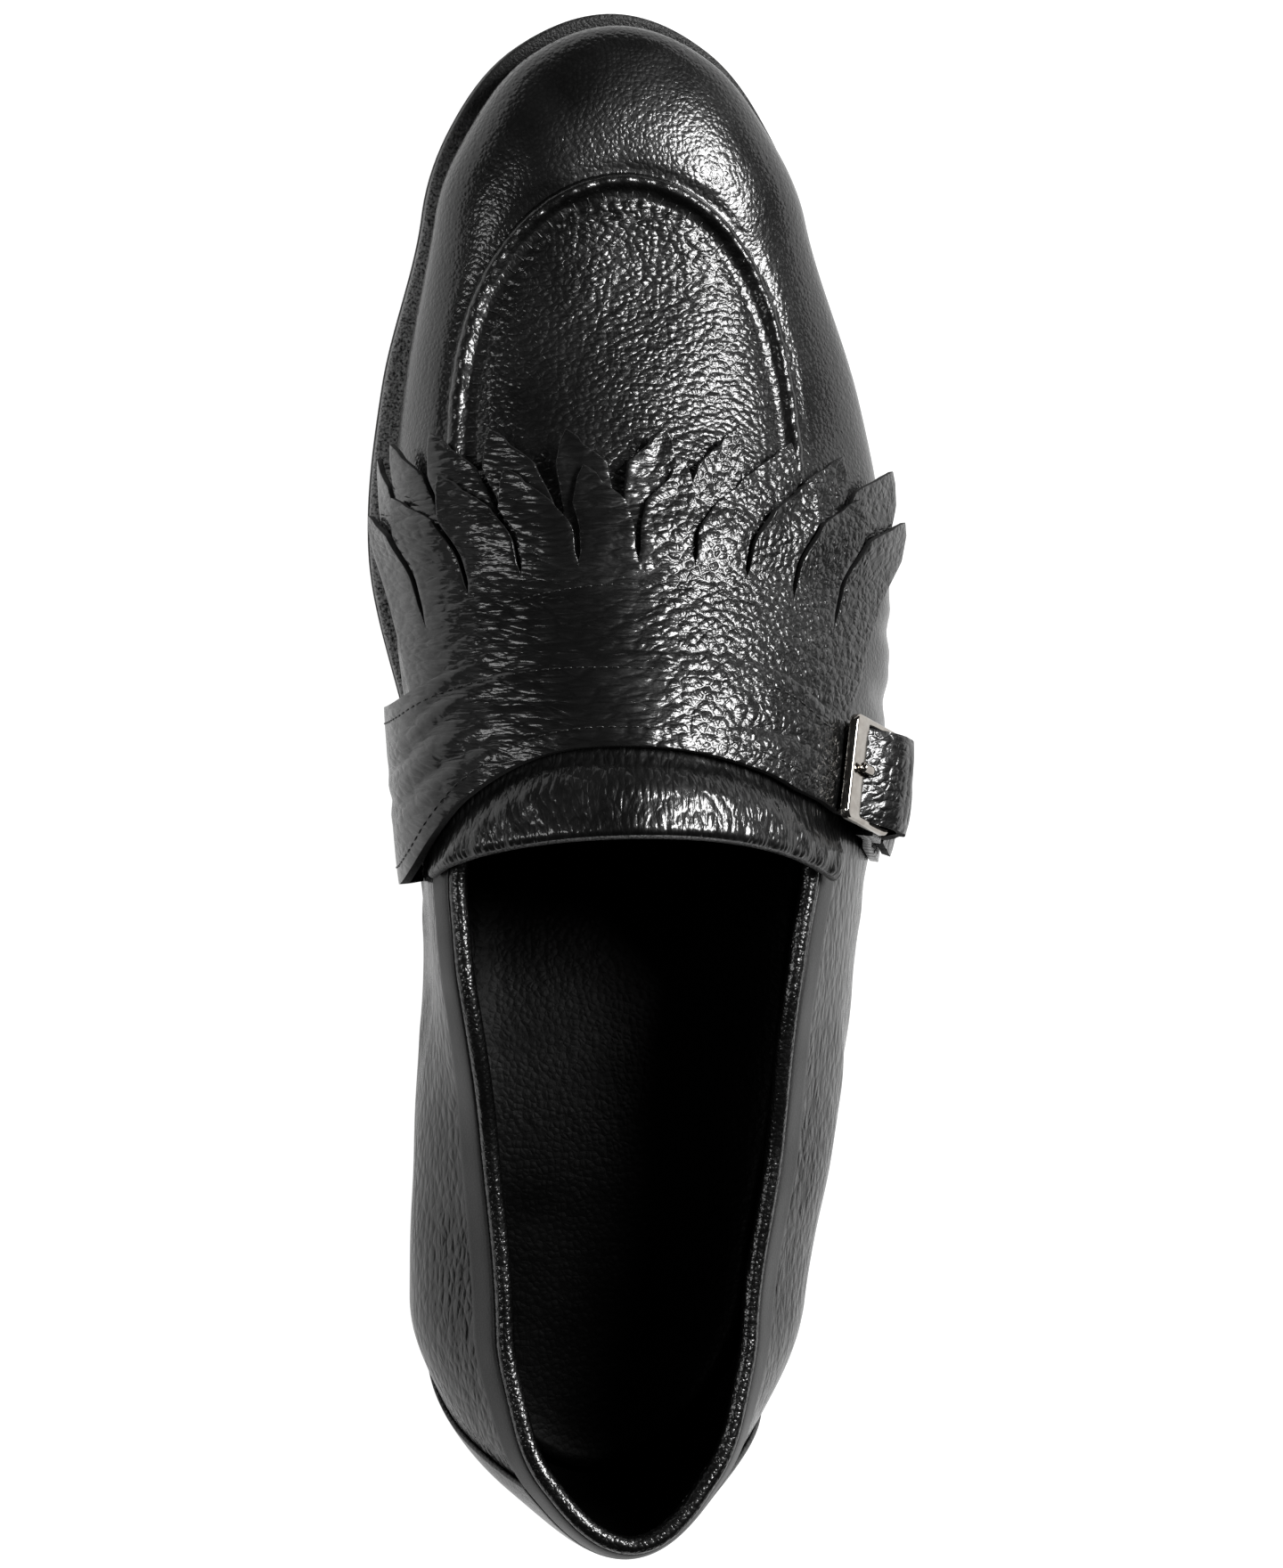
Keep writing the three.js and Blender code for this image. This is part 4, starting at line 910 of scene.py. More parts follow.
SEAM_INSIDE = 8.5 * MM
PLUG_EDGE = -3.4 * MM
SEAM_OUTSIDE = 2.1 * MM
ROLL_PLACE = 0.3 * MM
ROLL_HALF = 1.15 * MM
ROLL_RISE = 1.35 * MM
PUCKER_PLACE = -4.1 * MM
PUCKER_HALF = 0.9 * MM
PUCKER_RISE = 0.3 * MM
PUCKER = 2.9 * MM
SMOOTH_SPAN = 17
SEAM_LEATHER = 0.4 * MM
SEAM_RISE = 0.3 * MM
SEAM_SUNK = 0.2 * MM
SEAM_END = 0.02
WOBBLES = ((0.1, 700), (0.08, 1900))
THREADS_INSIDE = 2.6 * MM


def evened(rows, span):
    """Running average along a path, its ends held."""
    half = span // 2
    padded = np.concatenate([np.repeat(rows[:1], half, axis=0), rows, np.repeat(rows[-1:], half, axis=0)])
    weights = np.hanning(span + 2)[1:-1]
    weights /= weights.sum()
    return np.stack([np.convolve(padded[:, k], weights, mode="valid") for k in range(rows.shape[1])], -1)


def apron_path(count, offset):
    """Places and directions off the upper along the apron line, evened over the turn of the toe."""
    points, normals = drop_on(UPPER_TREE, apron_line(count, offset))
    points[:, 2] = evened(points[:, 2:], SMOOTH_SPAN)[:, 0]
    normals = evened(normals, 2 * SMOOTH_SPAN - 1)
    return points, normals / np.linalg.norm(normals, axis=1, keepdims=True)


def apron_seam():
    """The hand-sewn roll with its valley and the puckered edge of the plug inside it."""
    columns = 520
    rows = 28
    lines = [apron_path(columns + 1, mix(-SEAM_INSIDE, SEAM_OUTSIDE, j / rows)) for j in range(rows + 1)]
    points = np.array([line[0] for line in lines])
    normals = np.array([line[1] for line in lines])
    step = np.linalg.norm(np.diff(points[rows // 2], axis=0), axis=1)
    distance = np.concatenate([[0], np.cumsum(step)])

    def place(u, v):
        i = np.rint(u * columns).astype(int)
        j = np.rint(v * rows).astype(int)
        across = mix(-SEAM_INSIDE, SEAM_OUTSIDE, v)
        ends = ease(u / SEAM_END) * ease((1 - u) / SEAM_END)
        wobble = 1 + sum(share * np.sin(distance[i] * wave) for share, wave in WOBBLES)
        roll = ROLL_RISE * wobble * np.exp(-np.abs((across - ROLL_PLACE) / ROLL_HALF) ** 2.6)
        turn = 0.6 + 0.4 * np.cos(2 * math.pi * distance[i] / PUCKER)
        pucker = PUCKER_RISE * turn * np.exp(-((across - PUCKER_PLACE) / PUCKER_HALF) ** 2)
        foot = ease(v / 0.3) * ease((1 - v) / 0.06)
        height = foot * ends * (SEAM_RISE + roll + pucker) - SEAM_SUNK
        return points[j, i] + normals[j, i] * height[:, None], np.stack([distance[i], across], -1)

    def zone(_, v):
        return np.where(mix(-SEAM_INSIDE, SEAM_OUTSIDE, v) < PLUG_EDGE, APRON_ZONE, 0)
    bm = grid(columns, rows, place, zone)
    piece = make_piece(bm, "apron_roll", [VAMP_CALF, APRON_CALF], ["apron_seam"])
    thicken(piece, SEAM_LEATHER, offset=-1.0)
    return piece


apron_seam()


def apron_threads():
    path, normal = apron_path(420, -THREADS_INSIDE)
    path = path + normal * 0.1 * MM
    return thread_row("apron_threads", path, normal, PUCKER, 2.6 * MM, 0.22 * MM, turned=math.pi / 2)


apron_threads()


# Layers over the instep

TONGUE_BASE = SEAT_GAP
LOWER_BASE = SEAT_GAP
UPPER_BASE = LOWER_BASE + KILTIE_LEATHER + LAYER_GAP
STRAP_BASE = UPPER_BASE + KILTIE_LEATHER + LAYER_GAP


def strap_edge(a, column):
    return spline(a / BALL_WIDTH, STRAP[:, 0], STRAP[:, column]) * LENGTH


def strap_front(a):
    return strap_edge(a, 1)


def strap_rear(a):
    return strap_edge(a, 2)


def strap_middle(a):
    return (strap_front(a) + strap_rear(a)) / 2


# The grain is drawn out along the girth, most of all on the inner side
DRAWN_INNER = 0.3
DRAWN_OUTER = 0.85
GRAIN_A = np.linspace(-1.2 * BALL_WIDTH, 1.2 * BALL_WIDTH, 400)
GRAIN_RATE = mix(DRAWN_INNER, DRAWN_OUTER, ease((GRAIN_A + 5 * MM) / (20 * MM)))
GRAIN_U = np.cumsum(GRAIN_RATE) * (GRAIN_A[1] - GRAIN_A[0])


def drawn_grain(a, y):
    return np.stack([np.interp(a, GRAIN_A, GRAIN_U), y], -1)


def thread_over(name, a, y, height, pitch, length, radius):
    """Stitches over a layer of the instep, given by girth and place along the shoe."""
    path = wrap(a, y, height)
    normal = wrap(a, y, height + 1 * MM) - path
    return thread_row(name, path, normal / MM, pitch, length, radius)


# Kiltie

STRANDS_EACH_SIDE = 5
ROOT = 0.642 * LENGTH
ROOT_FALL = 0.8 * MM
SPREAD = 0.021
TIP_RISE = 7.2 * MM
TIP_LEAN = 3.2 * MM
TIP_PLACE = 0.84
TIP_POWER = 0.9
SLIT_SHOWN = 1.35 * MM
CURL_START = 0.628 * LENGTH
CURL_RUN = 10 * MM
CURL = 1.5 * MM
TIP_CURL = 0.09
JOINT_ROUNDS = 6
LAYER_NAMES = ("base", "end", "fall", "shift", "spread")
UPPER_LAYER = dict(zip(LAYER_NAMES, (UPPER_BASE, 0.676 * LENGTH, 0.42 * MM, 0.0, SPREAD)))
LOWER_LAYER = dict(zip(LAYER_NAMES, (LOWER_BASE, 0.701 * LENGTH, 0.3 * MM, -0.28 * STRAND_PITCH, 0.012)))


def slit_root(k):
    return ROOT - ROOT_FALL * k * k


def slit_girth(k, y, layer):
    past = y - slit_root(k)
    spread = np.where(past > 0, layer["spread"], SPREAD)
    shift = layer["shift"] * (1 - ease(np.abs(k) - STRANDS_EACH_SIDE + 1))
    return np.sign(k) * (STRAND_PITCH * np.abs(k) + spread * k * k * past) + shift


def kiltie_lift(y):
    past = np.maximum(y - UPPER_LAYER["end"], 0)
    return CURL * ease((y - CURL_START) / CURL_RUN) + TIP_CURL * past


def joint_place(k, layer):
    y = strap_middle(0 * k)
    for _ in range(JOINT_ROUNDS):
        y = strap_middle(slit_girth(k, y, layer))
    return y


def kiltie(name, layer, node_name, seed):
    rng = np.random.default_rng(seed)

    def base(u, s):
        k = mix(-STRANDS_EACH_SIDE, STRANDS_EACH_SIDE, u)
        y = mix(joint_place(k, layer), slit_root(k), s)
        a = slit_girth(k, y, layer)
        return wrap(a, y, layer["base"] + kiltie_lift(y)), drawn_grain(a, y)

    bm = grid(20 * STRANDS_EACH_SIDE, 16, base)
    for k in range(-STRANDS_EACH_SIDE, STRANDS_EACH_SIDE):
        outward = -1 if k < 0 else 1
        lift = rng.uniform(0, 1.1) * MM
        cup = rng.uniform(-0.35, 0.5) * MM
        tip_extra = rng.uniform(-1, 1) * MM

        def strand(u, s):
            line = k + u
            outer = u if outward > 0 else 1 - u
            tip = np.where(outer < TIP_PLACE, outer / TIP_PLACE, (1 - outer) / (1 - TIP_PLACE))
            tip = tip ** TIP_POWER
            end = layer["end"] - layer["fall"] * line * line + (TIP_RISE + tip_extra) * tip
            y = mix(slit_root(line), end, s)
            gap = mix(SLIT, SLIT_SHOWN, s) / 2 * np.sign(0.5 - u) * ease(5 * s)
            lean = TIP_LEAN * min(abs(k + 0.5) / 1.5, 1) * outward * ease((s - 0.45) / 0.55) * s
            a = slit_girth(line, y, layer) + gap + lean
            rise = lift * s ** 2 + cup * (2 * np.abs(u - 0.5)) ** 2 * ease(s)
            return wrap(a, y, layer["base"] + kiltie_lift(y) + rise), drawn_grain(a, y)
        join_into(bm, grid(10, 28, strand))
    piece = make_piece(bm, name, [FRINGE_CALF, CUT_EDGE], [node_name])
    thicken(piece, KILTIE_LEATHER, rim_slot=1)
    soften(piece, 0.25 * MM)
    return piece


kiltie("kiltie_under", LOWER_LAYER, "kiltie_lower", 11)
kiltie("kiltie_over", UPPER_LAYER, "kiltie_upper", 12)

STITCH_BEHIND_SLITS = 4.5 * MM
STITCH_HALF = 23 * MM


def kiltie_stitches():
    a = np.linspace(-STITCH_HALF, STITCH_HALF, 60)
    y = slit_root(a / STRAND_PITCH) - STITCH_BEHIND_SLITS
    height = UPPER_BASE + kiltie_lift(y) + KILTIE_LEATHER + 0.05 * MM
    return thread_over("kiltie_stitches", a, y, height, 2 * MM, 1.5 * MM, 0.2 * MM)


kiltie_stitches()


# Tongue

TONGUE_REAR = 0.473 * LENGTH
TONGUE_HALF = 0.48 * BALL_WIDTH
TONGUE_BOW = 9.3 * MM
TONGUE_FLARE = 1.2 * MM
TONGUE_ROLL = 8 * MM
TONGUE_SWELL = 1.1 * MM
TONGUE_PULL = 0.16 * MM
PULL_WAVE = 900
PULL_BEND = 260
EDGE_RADIUS = 1.7 * MM
TOP_END = 0.42
TURN_END = 0.58
UNDER_END = 0.94
EDGE_ZONE = 1


def tongue():
    """A flap of doubled leather, its rear edge turned over in a round roll with the cut edge behind."""
    def place(u, s):
        a = mix(-TONGUE_HALF, TONGUE_HALF, u)
        rear = TONGUE_REAR - TONGUE_BOW * (a / TONGUE_HALF) ** 2
        front = strap_middle(a)
        turn = np.clip((s - TOP_END) / (TURN_END - TOP_END), 0, 1) * math.pi
        straight_end = rear + EDGE_RADIUS
        y = mix(front, straight_end, s / TOP_END)
        y = np.where(s > TOP_END, straight_end - EDGE_RADIUS * np.sin(turn), y)
        y = np.where(s > TURN_END, mix(straight_end, front, (s - TURN_END) / (UNDER_END - TURN_END)), y)
        y = np.where(s > UNDER_END, front, y)
        back = ease((strap_rear(a) - y) / TONGUE_ROLL)
        fold = np.sin(a * PULL_WAVE + 3 * np.sin(y * PULL_BEND))
        pull = TONGUE_PULL * fold * ease((np.abs(a) - 12 * MM) / (14 * MM))
        thick = TONGUE_LEATHER + back * (TONGUE_SWELL + pull)
        level = (1 + np.cos(turn)) / 2
        level = np.where(s > UNDER_END, (s - UNDER_END) / (1 - UNDER_END), level)
        height = TONGUE_BASE + back * TONGUE_FLARE + level * thick
        return wrap(a, y, height), np.stack([a, y + s * 10 * MM], -1)

    def zone(_, s):
        return np.where((s > mix(TOP_END, TURN_END, 0.3)) & (s < TURN_END), EDGE_ZONE, 0)
    bm = grid(220, 64, place, zone)
    bmesh.ops.remove_doubles(bm, verts=bm.verts, dist=MERGE)
    ends = [edge for edge in bm.edges if edge.is_boundary]
    bmesh.ops.holes_fill(bm, edges=ends, sides=0)
    return make_piece(bm, "tongue_flap", [TONGUE_CALF, RAW_EDGE], ["tongue"], closed=True)


tongue()


# Strap and the tab that holds the buckle

STRAP_FOOT = -0.93 * BALL_WIDTH
STRAP_TAIL = 0.84 * BALL_WIDTH
STAND_OFF = 0.7 * BALL_WIDTH
FAR_BAR = 0.575 * BALL_WIDTH
NEAR_BAR = 0.44 * BALL_WIDTH
NEAR_GAP = 1.4 * MM
FAR_GAP = 0.6 * MM
TAB_RISE = 2.6 * MM
TAB_RUN = 13 * MM
FOLD_RUN = 6 * MM
CAD_BUCKLE_THICKNESS = 1.6 * MM
SLOPE_RUN = 9 * MM
STRAP_IN_BUCKLE = 16.2 * MM
STRAP_NARROWS = 0.3 * BALL_WIDTH
STRAP_CROWN = 0.35 * MM
STRAP_SETTLED = 0.2 * MM
STITCHES_END = NEAR_BAR - 5 * MM

# Creases in mm: girth and distance from the strap's middle at both ends, depth, half width
STRAP_CREASES = MM * np.array([
    (-72, 5, -28, 3, .32, 1.5), (-66, -3, -20, -4, .30, 1.6), (-50, 9, -12, 7, .24, 1.3),
    (-34, -9, -2, -8, .22, 1.4), (-80, -1, -56, -1, .30, 1.5), (14, -3, 36, 0, .22, 1.4),
    (57.5, -9, 58.8, 9, .40, .75), (60.9, -9, 60.2, 2, .34, .7), (61.6, 1, 64.2, 9, .38, .7),
    (64.8, -9, 65.6, 4, .42, .8), (68.6, -7, 67.9, 9, .36, .75), (71.4, -9, 72.8, 5, .40, .8),
    (75.6, -6, 75.2, 9, .34, .8), (78.6, -9, 78.2, 6, .30, .7),
])


def tab_base(a):
    return SEAT_GAP + TAB_RISE * (1 - ease((a - FAR_BAR) / TAB_RUN))


def tab_top(a):
    return tab_base(a) + STRAP_LEATHER * (2 - ease((a - FAR_BAR) / FOLD_RUN))


OVER_BAR = tab_top(FAR_BAR) + 3 * FAR_GAP + CAD_BUCKLE_THICKNESS


def strap_height(a):
    inner = mix(STRAP_BASE, SEAT_GAP, ease((-a - STAND_OFF) / SLOPE_RUN))
    on_bar = mix(STRAP_BASE, OVER_BAR, ease((a - NEAR_BAR) / (FAR_BAR - NEAR_BAR)))
    outer = mix(on_bar, tab_top(a) + 2 * SEAT_GAP, ease((a - FAR_BAR - BUCKLE_BAR / 2) / SLOPE_RUN))
    return np.where(a < 0, inner, outer)


def strap_width(a):
    wide = strap_front(a) - strap_rear(a)
    squeeze = ease((a - STRAP_NARROWS) / (NEAR_BAR - BUCKLE_BAR - STRAP_NARROWS))
    return mix(wide, STRAP_IN_BUCKLE, np.where(a > 0, squeeze, 0))


def strap_top(a, beside):
    """Height of the strap's underside with its crown and creases, beside its middle line."""
    crown = STRAP_CROWN * (1 - (2 * beside / strap_width(a)) ** 4)
    return strap_height(a) + crown - STRAP_SETTLED + troughs(STRAP_CREASES, a, beside)


def strap():
    def place(u, s):
        a = mix(STRAP_FOOT, STRAP_TAIL, u)
        beside = (0.5 - s) * strap_width(a)
        y = strap_middle(a) + beside
        return wrap(a, y, strap_top(a, beside)), drawn_grain(a, y)
    bm = grid(520, 36, place)
    piece = make_piece(bm, "instep_strap", [STRAP_CALF, CUT_EDGE], ["strap"])
    thicken(piece, STRAP_LEATHER, rim_slot=1)
    soften(piece, 0.5 * MM, 3)
    return piece


def strap_stitches(name, edge_side):
    """A row along an edge of the strap, from its foot nearly to the buckle."""
    a = np.linspace(STRAP_FOOT + 4 * MM, STITCHES_END, 200)
    beside = edge_side * (strap_width(a) / 2 - STITCH_INSET)
    height = strap_top(a, beside) + STRAP_LEATHER + 0.02 * MM
    return thread_over(name, a, strap_middle(a) + beside, height, 2.2 * MM, 1.6 * MM, 0.2 * MM)


TAB_START = FAR_BAR - BUCKLE_BAR / 2
TAB_FOOT = 0.9 * BALL_WIDTH
TAB_BACKWARD = 0.6 * MM
TAB_SHOWN = 18.4 * MM
STITCH_INSET = 3 * MM


def buckle_tab():
    """The tab, folded double at its end."""
    def layer(end, level):
        def place(u, s):
            a = mix(TAB_START, end, u)
            y = strap_middle(np.minimum(a, STRAP_TAIL)) - TAB_BACKWARD + (0.5 - s) * TAB_SHOWN
            return wrap(a, y, tab_base(a) + level), drawn_grain(a, y)
        return grid(50, 30, place)
    bm = layer(TAB_FOOT, 0)
    join_into(bm, layer(FAR_BAR + FOLD_RUN, STRAP_LEATHER))
    piece = make_piece(bm, "buckle_tab_leather", [STRAP_CALF], ["buckle_tab"])
    thicken(piece, STRAP_LEATHER)
    soften(piece, 0.5 * MM, 3)
    return piece


strap()
strap_stitches("strap_stitches_rear", -1)
strap_stitches("strap_stitches_front", 1)
buckle_tab()


# Buckle

NEAR_HEIGHT = STRAP_BASE + STRAP_LEATHER + NEAR_GAP + CAD_BUCKLE_THICKNESS / 2
FAR_HEIGHT = tab_top(FAR_BAR) + FAR_GAP + CAD_BUCKLE_THICKNESS / 2
BUCKLE_CORNER = 1.6 * MM
BUCKLE_ROUNDING = 0.45 * MM
PIN_HALF = (0.75 * MM, 1.0 * MM)


def bar_end(a, height, side):
    a = np.array([a])
    return Vector(wrap(a, strap_middle(a) + side * BUCKLE_WIDTH / 2, height)[0])


def buckle_matrix():
    """Place of the buckle: its near bar over the strap, its far bar over the tab."""
    near = (bar_end(NEAR_BAR, NEAR_HEIGHT, 1) + bar_end(NEAR_BAR, NEAR_HEIGHT, -1)) / 2
    far = (bar_end(FAR_BAR, FAR_HEIGHT, 1) + bar_end(FAR_BAR, FAR_HEIGHT, -1)) / 2
    out = (far - near).normalized()
    front = bar_end(NEAR_BAR, NEAR_HEIGHT, 1) + bar_end(FAR_BAR, FAR_HEIGHT, 1)
    rear = bar_end(NEAR_BAR, NEAR_HEIGHT, -1) + bar_end(FAR_BAR, FAR_HEIGHT, -1)
    up = out.cross(front - rear).normalized()
    matrix = Matrix((out, up.cross(out), up)).transposed().to_4x4()
    matrix.translation = (near + far) / 2 - Vector((0, HEEL_REST, 0))
    return matrix


BUCKLE_PLACE = buckle_matrix()


def buckle_bars():
    bm = bmesh.new()
    bmesh.ops.create_cube(bm, size=1)
    bmesh.ops.scale(bm, vec=(BUCKLE_LENGTH, BUCKLE_WIDTH, BUCKLE_THICKNESS), verts=bm.verts)
    upright = [edge for edge in bm.edges
               if abs(edge.verts[0].co.z - edge.verts[1].co.z) > BUCKLE_THICKNESS / 2]
    bmesh.ops.bevel(bm, geom=upright, offset=BUCKLE_CORNER, offset_type="OFFSET", segments=5, profile=0.5,
                    affect="EDGES", material=-1)
    caps = [face for face in bm.faces if abs(face.normal.z) > 0.9]
    bmesh.ops.inset_individual(bm, faces=caps, thickness=BUCKLE_SIDE, use_even_offset=True)
    caps = [face for face in bm.faces if abs(face.normal.z) > 0.9 and all(
        abs(corner.co.y) < BUCKLE_WIDTH / 2 - BUCKLE_SIDE / 2 for corner in face.verts)
        and len(face.verts) > 4]
    rims = set()
    for face in caps:
        for corner in face.verts:
            bar = BUCKLE_BAR if corner.co.x > 0 else NEAR_BAR_WIDE
            corner.co.x *= (BUCKLE_LENGTH / 2 - bar) / (BUCKLE_LENGTH / 2 - BUCKLE_SIDE)
        rims.update(face.edges)
    bmesh.ops.delete(bm, geom=caps, context="FACES_ONLY")
    bmesh.ops.bridge_loops(bm, edges=list(rims))
    sharp = [edge for edge in bm.edges if edge.is_manifold and edge.calc_face_angle() > math.radians(50)]
    bmesh.ops.bevel(bm, geom=sharp, offset=BUCKLE_ROUNDING, offset_type="OFFSET", segments=3, profile=0.5,
                    affect="EDGES", material=-1)
    bmesh.ops.transform(bm, matrix=BUCKLE_PLACE, verts=bm.verts)
    piece = make_piece(bm, "buckle_bars", [NICKEL], ["buckle_frame"], closed=True)
    piece.data.set_sharp_from_angle(angle=math.radians(40))
    return piece


def prong():
    """A round pin from the far bar, bent up through the strap and over the near bar."""
    far_edge = BUCKLE_LENGTH / 2 - BUCKLE_BAR
    near_edge = NEAR_BAR_WIDE - BUCKLE_LENGTH / 2
    depth = CAD_BUCKLE_THICKNESS / 2 + SEAT_GAP + 0.65 * MM
    keys = np.array([[far_edge, -depth], [1 * MM, -depth], [near_edge + 0.5 * MM, depth + 0.2 * MM],
                     [near_edge - 2.6 * MM, depth + 0.1 * MM]])
    t = np.linspace(0, 3, 31)
    x = np.interp(t, [0, 1, 2, 3], keys[:, 0])
    z = np.interp(t, [0, 1, 2, 3], keys[:, 1])
    flat = np.stack([x, 0 * x, z], -1)
    rotation = np.array(BUCKLE_PLACE.to_3x3())
    path = flat @ rotation.T + np.array(BUCKLE_PLACE.translation) + np.array([0, HEEL_REST, 0])
    up = np.repeat(rotation[:, 2][None, :], len(path), axis=0)
    _, out, beside = frames(path, up)
    return tube_piece("buckle_pin", path, out, beside, PIN_HALF, 14,
                      NICKEL, ["buckle_prong"])


buckle_bars()
prong()


# Sole

def ring_section(name, columns, rows, place_row, material, replaced):
    def place(u, s):
        at, side = around(u)
        return place_row(at, side, s), np.stack([travel(at) * side, s * 20 * MM], -1)
    bm = grid(columns, rows, place)
    return make_piece(bm, name, [material], replaced, closed=True)


def sole_edge(at, side, inset):
    line_y, dx, dy = spoke(at, side)
    r = reach(at, side, "sole") - inset
    return dx * r, line_y + dy * r


OUTSOLE_OUT = np.array([0, .3, .6, .85, 1, 1, 1, 1, .97, .6, .3, 0])
OUTSOLE_UP = np.array([0, 0, 0, 0, 0, .1, .3, .8, 1, 1, 1, 1])
OUTSOLE_INSET = np.array([0, 0, 0, 0, 1.4, .5, .05, 0, 0, 0, 0, 0]) * MM


def outsole():
    steps = len(OUTSOLE_OUT) - 1

    def place_row(at, side, s):
        j = np.rint(s * steps).astype(int)
        x, y = sole_edge(at, side, OUTSOLE_INSET[j])
        middle = spoke(at, side)[0]
        y = mix(middle, y, OUTSOLE_OUT[j])
        return np.stack([x * OUTSOLE_OUT[j], y, tread(y) + OUTSOLE_UP[j] * OUTSOLE], -1)
    return ring_section("outsole_leather", 300, steps, place_row, SOLE_LEATHER, ["outsole"])


WELT_IN = np.array([1, .5, 0, 0, 0, .02, .1, .5, 1, 1])
WELT_UP = np.array([0, 0, 0, .25, .8, 1, 1.04, 1, 1, 0])


def welt():
    steps = len(WELT_IN) - 1

    def place_row(at, side, s):
        j = np.rint(s * steps).astype(int)
        depth = reach(at, side, "sole") - reach(at, side, "foot") + WELT_SEAT
        x, y = sole_edge(at, side, WELT_IN[j] * depth)
        return np.stack([x, y, welt_base(y) + WELT_UP[j] * WELT], -1)
    return ring_section("welt_strip", 500, steps, place_row, WELT_LEATHER, ["welt"])


SOCK_OUT = np.array([0, .25, .5, .7, .85, .95, 1, 1, .5, 0])
SOCK_UP = np.array([1, 1, 1, 1.02, 1.12, 1.35, 1.7, 0, 0, 0])


def sock():
    steps = len(SOCK_OUT) - 1

    def place_row(at, side, s):
        j = np.rint(s * steps).astype(int)
        line_y, dx, dy = spoke(at, side)
        r = (reach(at, side, "foot") - WALL - 0.5 * MM) * SOCK_OUT[j]
        r = np.where(SOCK_UP[j] > 0.5, r + 0.35 * MM * (SOCK_OUT[j] >= 1), r)
        y = line_y + dy * r
        return np.stack([dx * r, y, feather_height(y) + SOCK_UP[j] * INSOLE], -1)
    return ring_section("sock_leather", 300, steps, place_row, SOCK_CALF, ["insole"])


LIFT_GROOVE = 0.25 * MM
LIFT_ROUND = 0.12
HEEL_ROUND = 0.82
BREAST_HOLLOW = 3 * MM


def heel_lifts(name, base, height, inset, lifts, material, replaced):
    """Heel block with a groove between lifts: round for HEEL_ROUND of its outline, the rest its breast."""
    breast = BREAST - 2 * MM
    levels = []
    for lift in range(lifts):
        low = lift / lifts
        high = (lift + 1) / lifts
        levels += [(low, LIFT_GROOVE), (low + LIFT_ROUND / lifts, 0)]
        levels += [(high - LIFT_ROUND / lifts, 0), (high, LIFT_GROOVE)]
    levels = np.array([(0, 1)] + levels + [(1, 1)])
    steps = len(levels) - 1

    def outline(u, extra):
        w = 2 * u - 1
        at_end = straight_at(breast)
        share = np.clip(np.abs(w) / HEEL_ROUND, 0, 1)
        at = at_of_travel(share * travel(at_end))
        side = np.where(w < 0, -1.0, 1.0)
        x, y = sole_edge(at, side, inset + extra)
        flat = np.clip((np.abs(w) - HEEL_ROUND) / (1 - HEEL_ROUND), 0, 1)
        return x * (1 - flat), y - BREAST_HOLLOW * flat ** 1.5

    def place(u, s):
        j = np.rint(s * steps).astype(int)
        extra = np.where(levels[j, 1] > 0.5, 0, levels[j, 1])
        x, y = outline(u, extra)
        closed = levels[j, 1] > 0.5
        x = np.where(closed, 0, x)
        y = np.where(closed, 0.5 * BREAST, y)
        return np.stack([x, y, base + levels[j, 0] * height], -1), np.stack([u, s], -1)
    bm = grid(120, steps, place)
    return make_piece(bm, name, [material], replaced, closed=True)


outsole()
welt()
sock()
heel_lifts("heel_stack_lifts", TOP_PIECE, HEEL_HEIGHT - TOP_PIECE, 1 * MM, 3, SOLE_LEATHER,
           ["heel_stack"])
heel_lifts("heel_top_rubber", 0.0, TOP_PIECE - 0.2 * MM, 1.6 * MM, 1, HEEL_RUBBER,
           ["heel_top_piece"])


# Stage

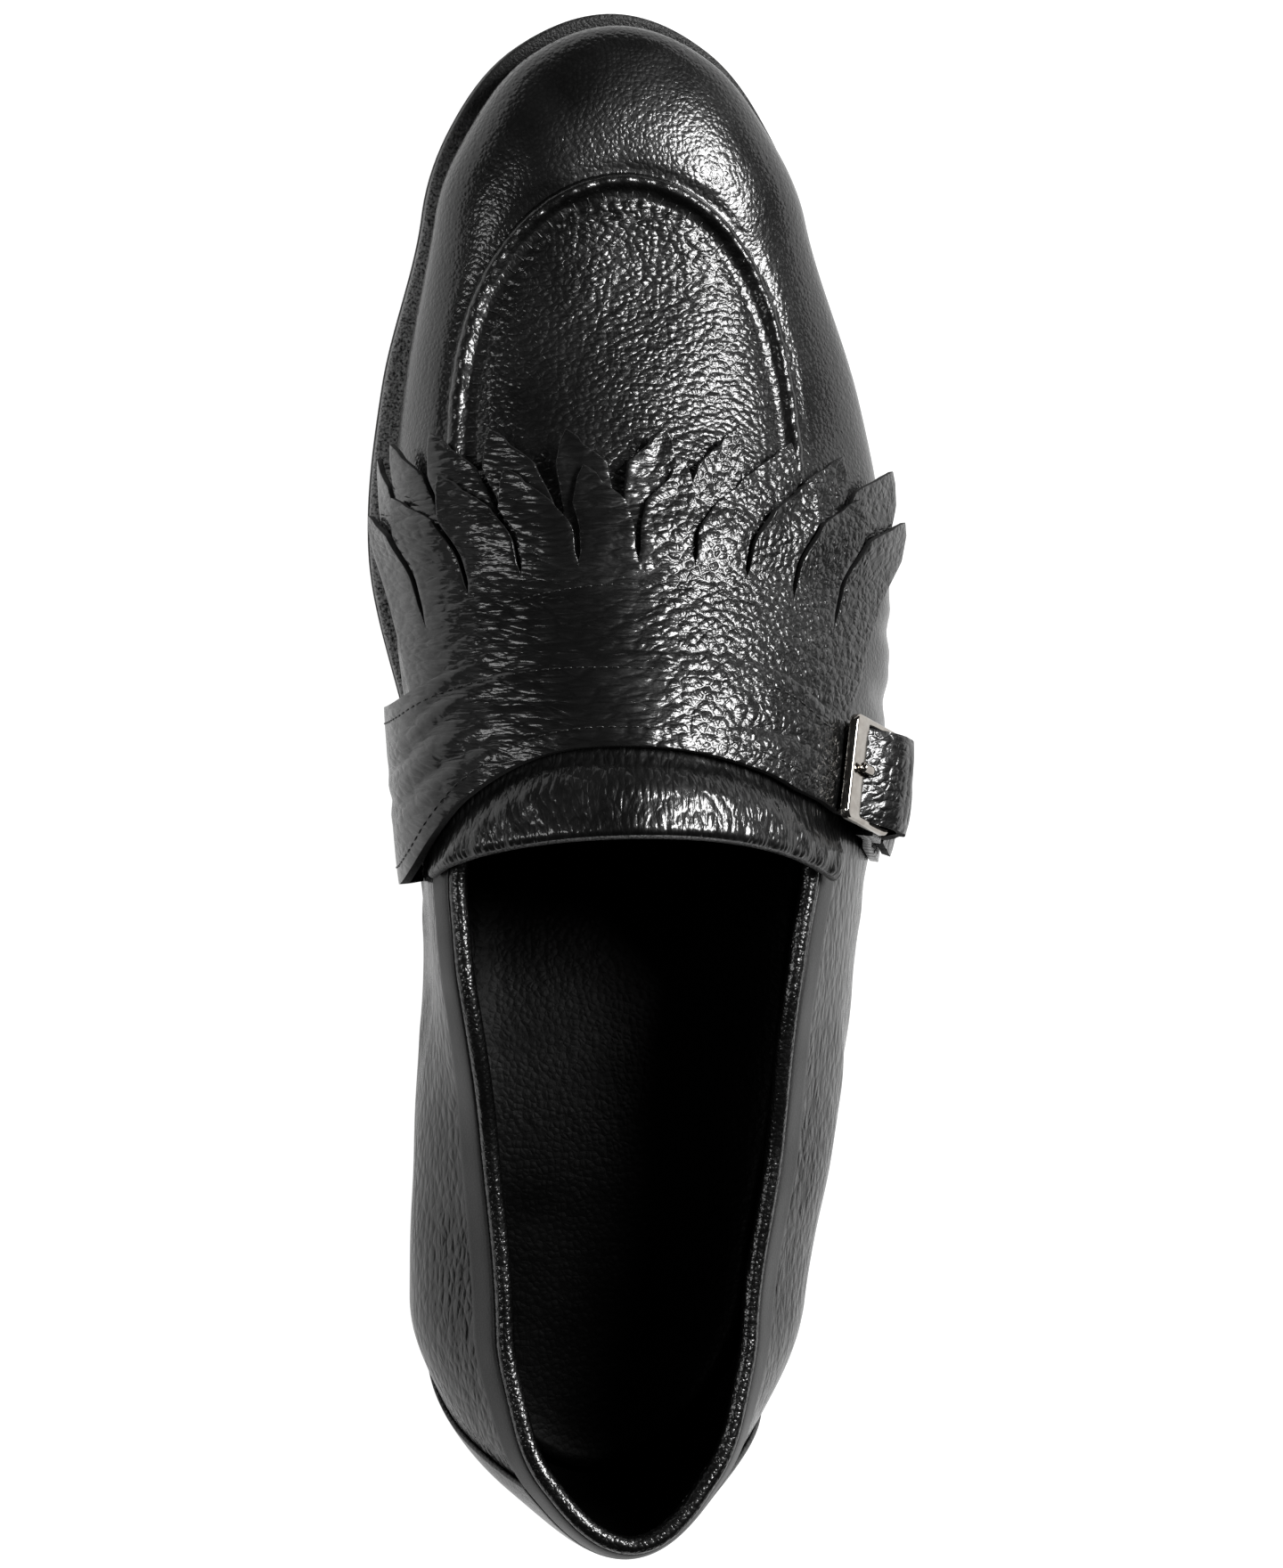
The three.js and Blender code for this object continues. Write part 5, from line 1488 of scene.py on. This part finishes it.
def floor():
    """White paper that keeps no shadow and is dim in the leather, as in a cut-out photograph."""
    material, tree = new_material("pale_floor")
    rays = node(tree, "ShaderNodeLightPath")
    glow = node(tree, "ShaderNodeMapRange", {0: rays.outputs["Is Camera Ray"], 3: 0.5, 4: 1.0})
    shader = node(tree, "ShaderNodeBsdfPrincipled", {
        "Base Color": linear("#8a8a8a"), "Roughness": 0.9, "Specular IOR Level": 0.0,
        "Emission Color": (1, 1, 1, 1), "Emission Strength": glow.outputs[0],
    })
    node(tree, "ShaderNodeOutputMaterial", {"Surface": shader.outputs[0]})
    bm = bmesh.new()
    bmesh.ops.create_grid(bm, x_segments=1, y_segments=1, size=4)
    mesh = bpy.data.meshes.new("floor")
    bm.to_mesh(mesh)
    bm.free()
    mesh.materials.append(material)
    plane = bpy.data.objects.new("floor", mesh)
    bpy.context.scene.collection.objects.link(plane)


def area_light(name, place, aim, size, power):
    data = bpy.data.lights.new(name, "AREA")
    data.shape = "RECTANGLE"
    data.size = size[0]
    data.size_y = size[1]
    data.energy = power
    light = bpy.data.objects.new(name, data)
    light.location = place
    light.rotation_euler = (Vector(aim) - Vector(place)).to_track_quat("-Z", "Y").to_euler()
    bpy.context.scene.collection.objects.link(light)


def camera():
    """The photograph's view: nearly from above, from a little inside and behind the toe."""
    place = Vector((-140, 230, 850)) * MM - Vector((0, HEEL_REST, 0))
    aim = Vector((0, 145, 35)) * MM - Vector((0, HEEL_REST, 0))
    roll = math.radians(1.29)
    forward = (aim - place).normalized()
    right = forward.cross(Vector((0, 1, 0))).normalized()
    up = right.cross(forward)
    right = right * math.cos(roll) + up * math.sin(roll)
    up = right.cross(forward)
    data = bpy.data.cameras.new("camera")
    data.sensor_fit = "VERTICAL"
    data.sensor_height = 36
    data.lens = 97.24
    data.shift_x = 0.01891
    data.shift_y = 0.00227
    data.clip_start = 0.05
    view = bpy.data.objects.new("camera", data)
    matrix = Matrix((right, up, -forward)).transposed().to_4x4()
    matrix.translation = place
    view.matrix_world = matrix
    bpy.context.scene.collection.objects.link(view)
    bpy.context.scene.camera = view


def studio():
    world = bpy.data.worlds.new("studio")
    world.use_nodes = True
    tree = world.node_tree
    rays = node(tree, "ShaderNodeLightPath")
    strength = node(tree, "ShaderNodeMapRange", {0: rays.outputs["Is Camera Ray"], 3: 0.025, 4: 1.0})
    tree.nodes["Background"].inputs["Color"].default_value = (1, 1, 1, 1)
    tree.links.new(strength.outputs[0], tree.nodes["Background"].inputs["Strength"])
    bpy.context.scene.world = world
    bpy.context.scene.view_settings.view_transform = "Standard"
    area_light("softbox_right", (0.55, 0.52, 0.76), (0, 0.1, 0.03), (0.36, 0.42), 14)
    area_light("softbox_left", (-0.75, 0.25, 0.58), (0, 0.1, 0.03), (0.2, 0.45), 1.6)


floor()
studio()
camera()
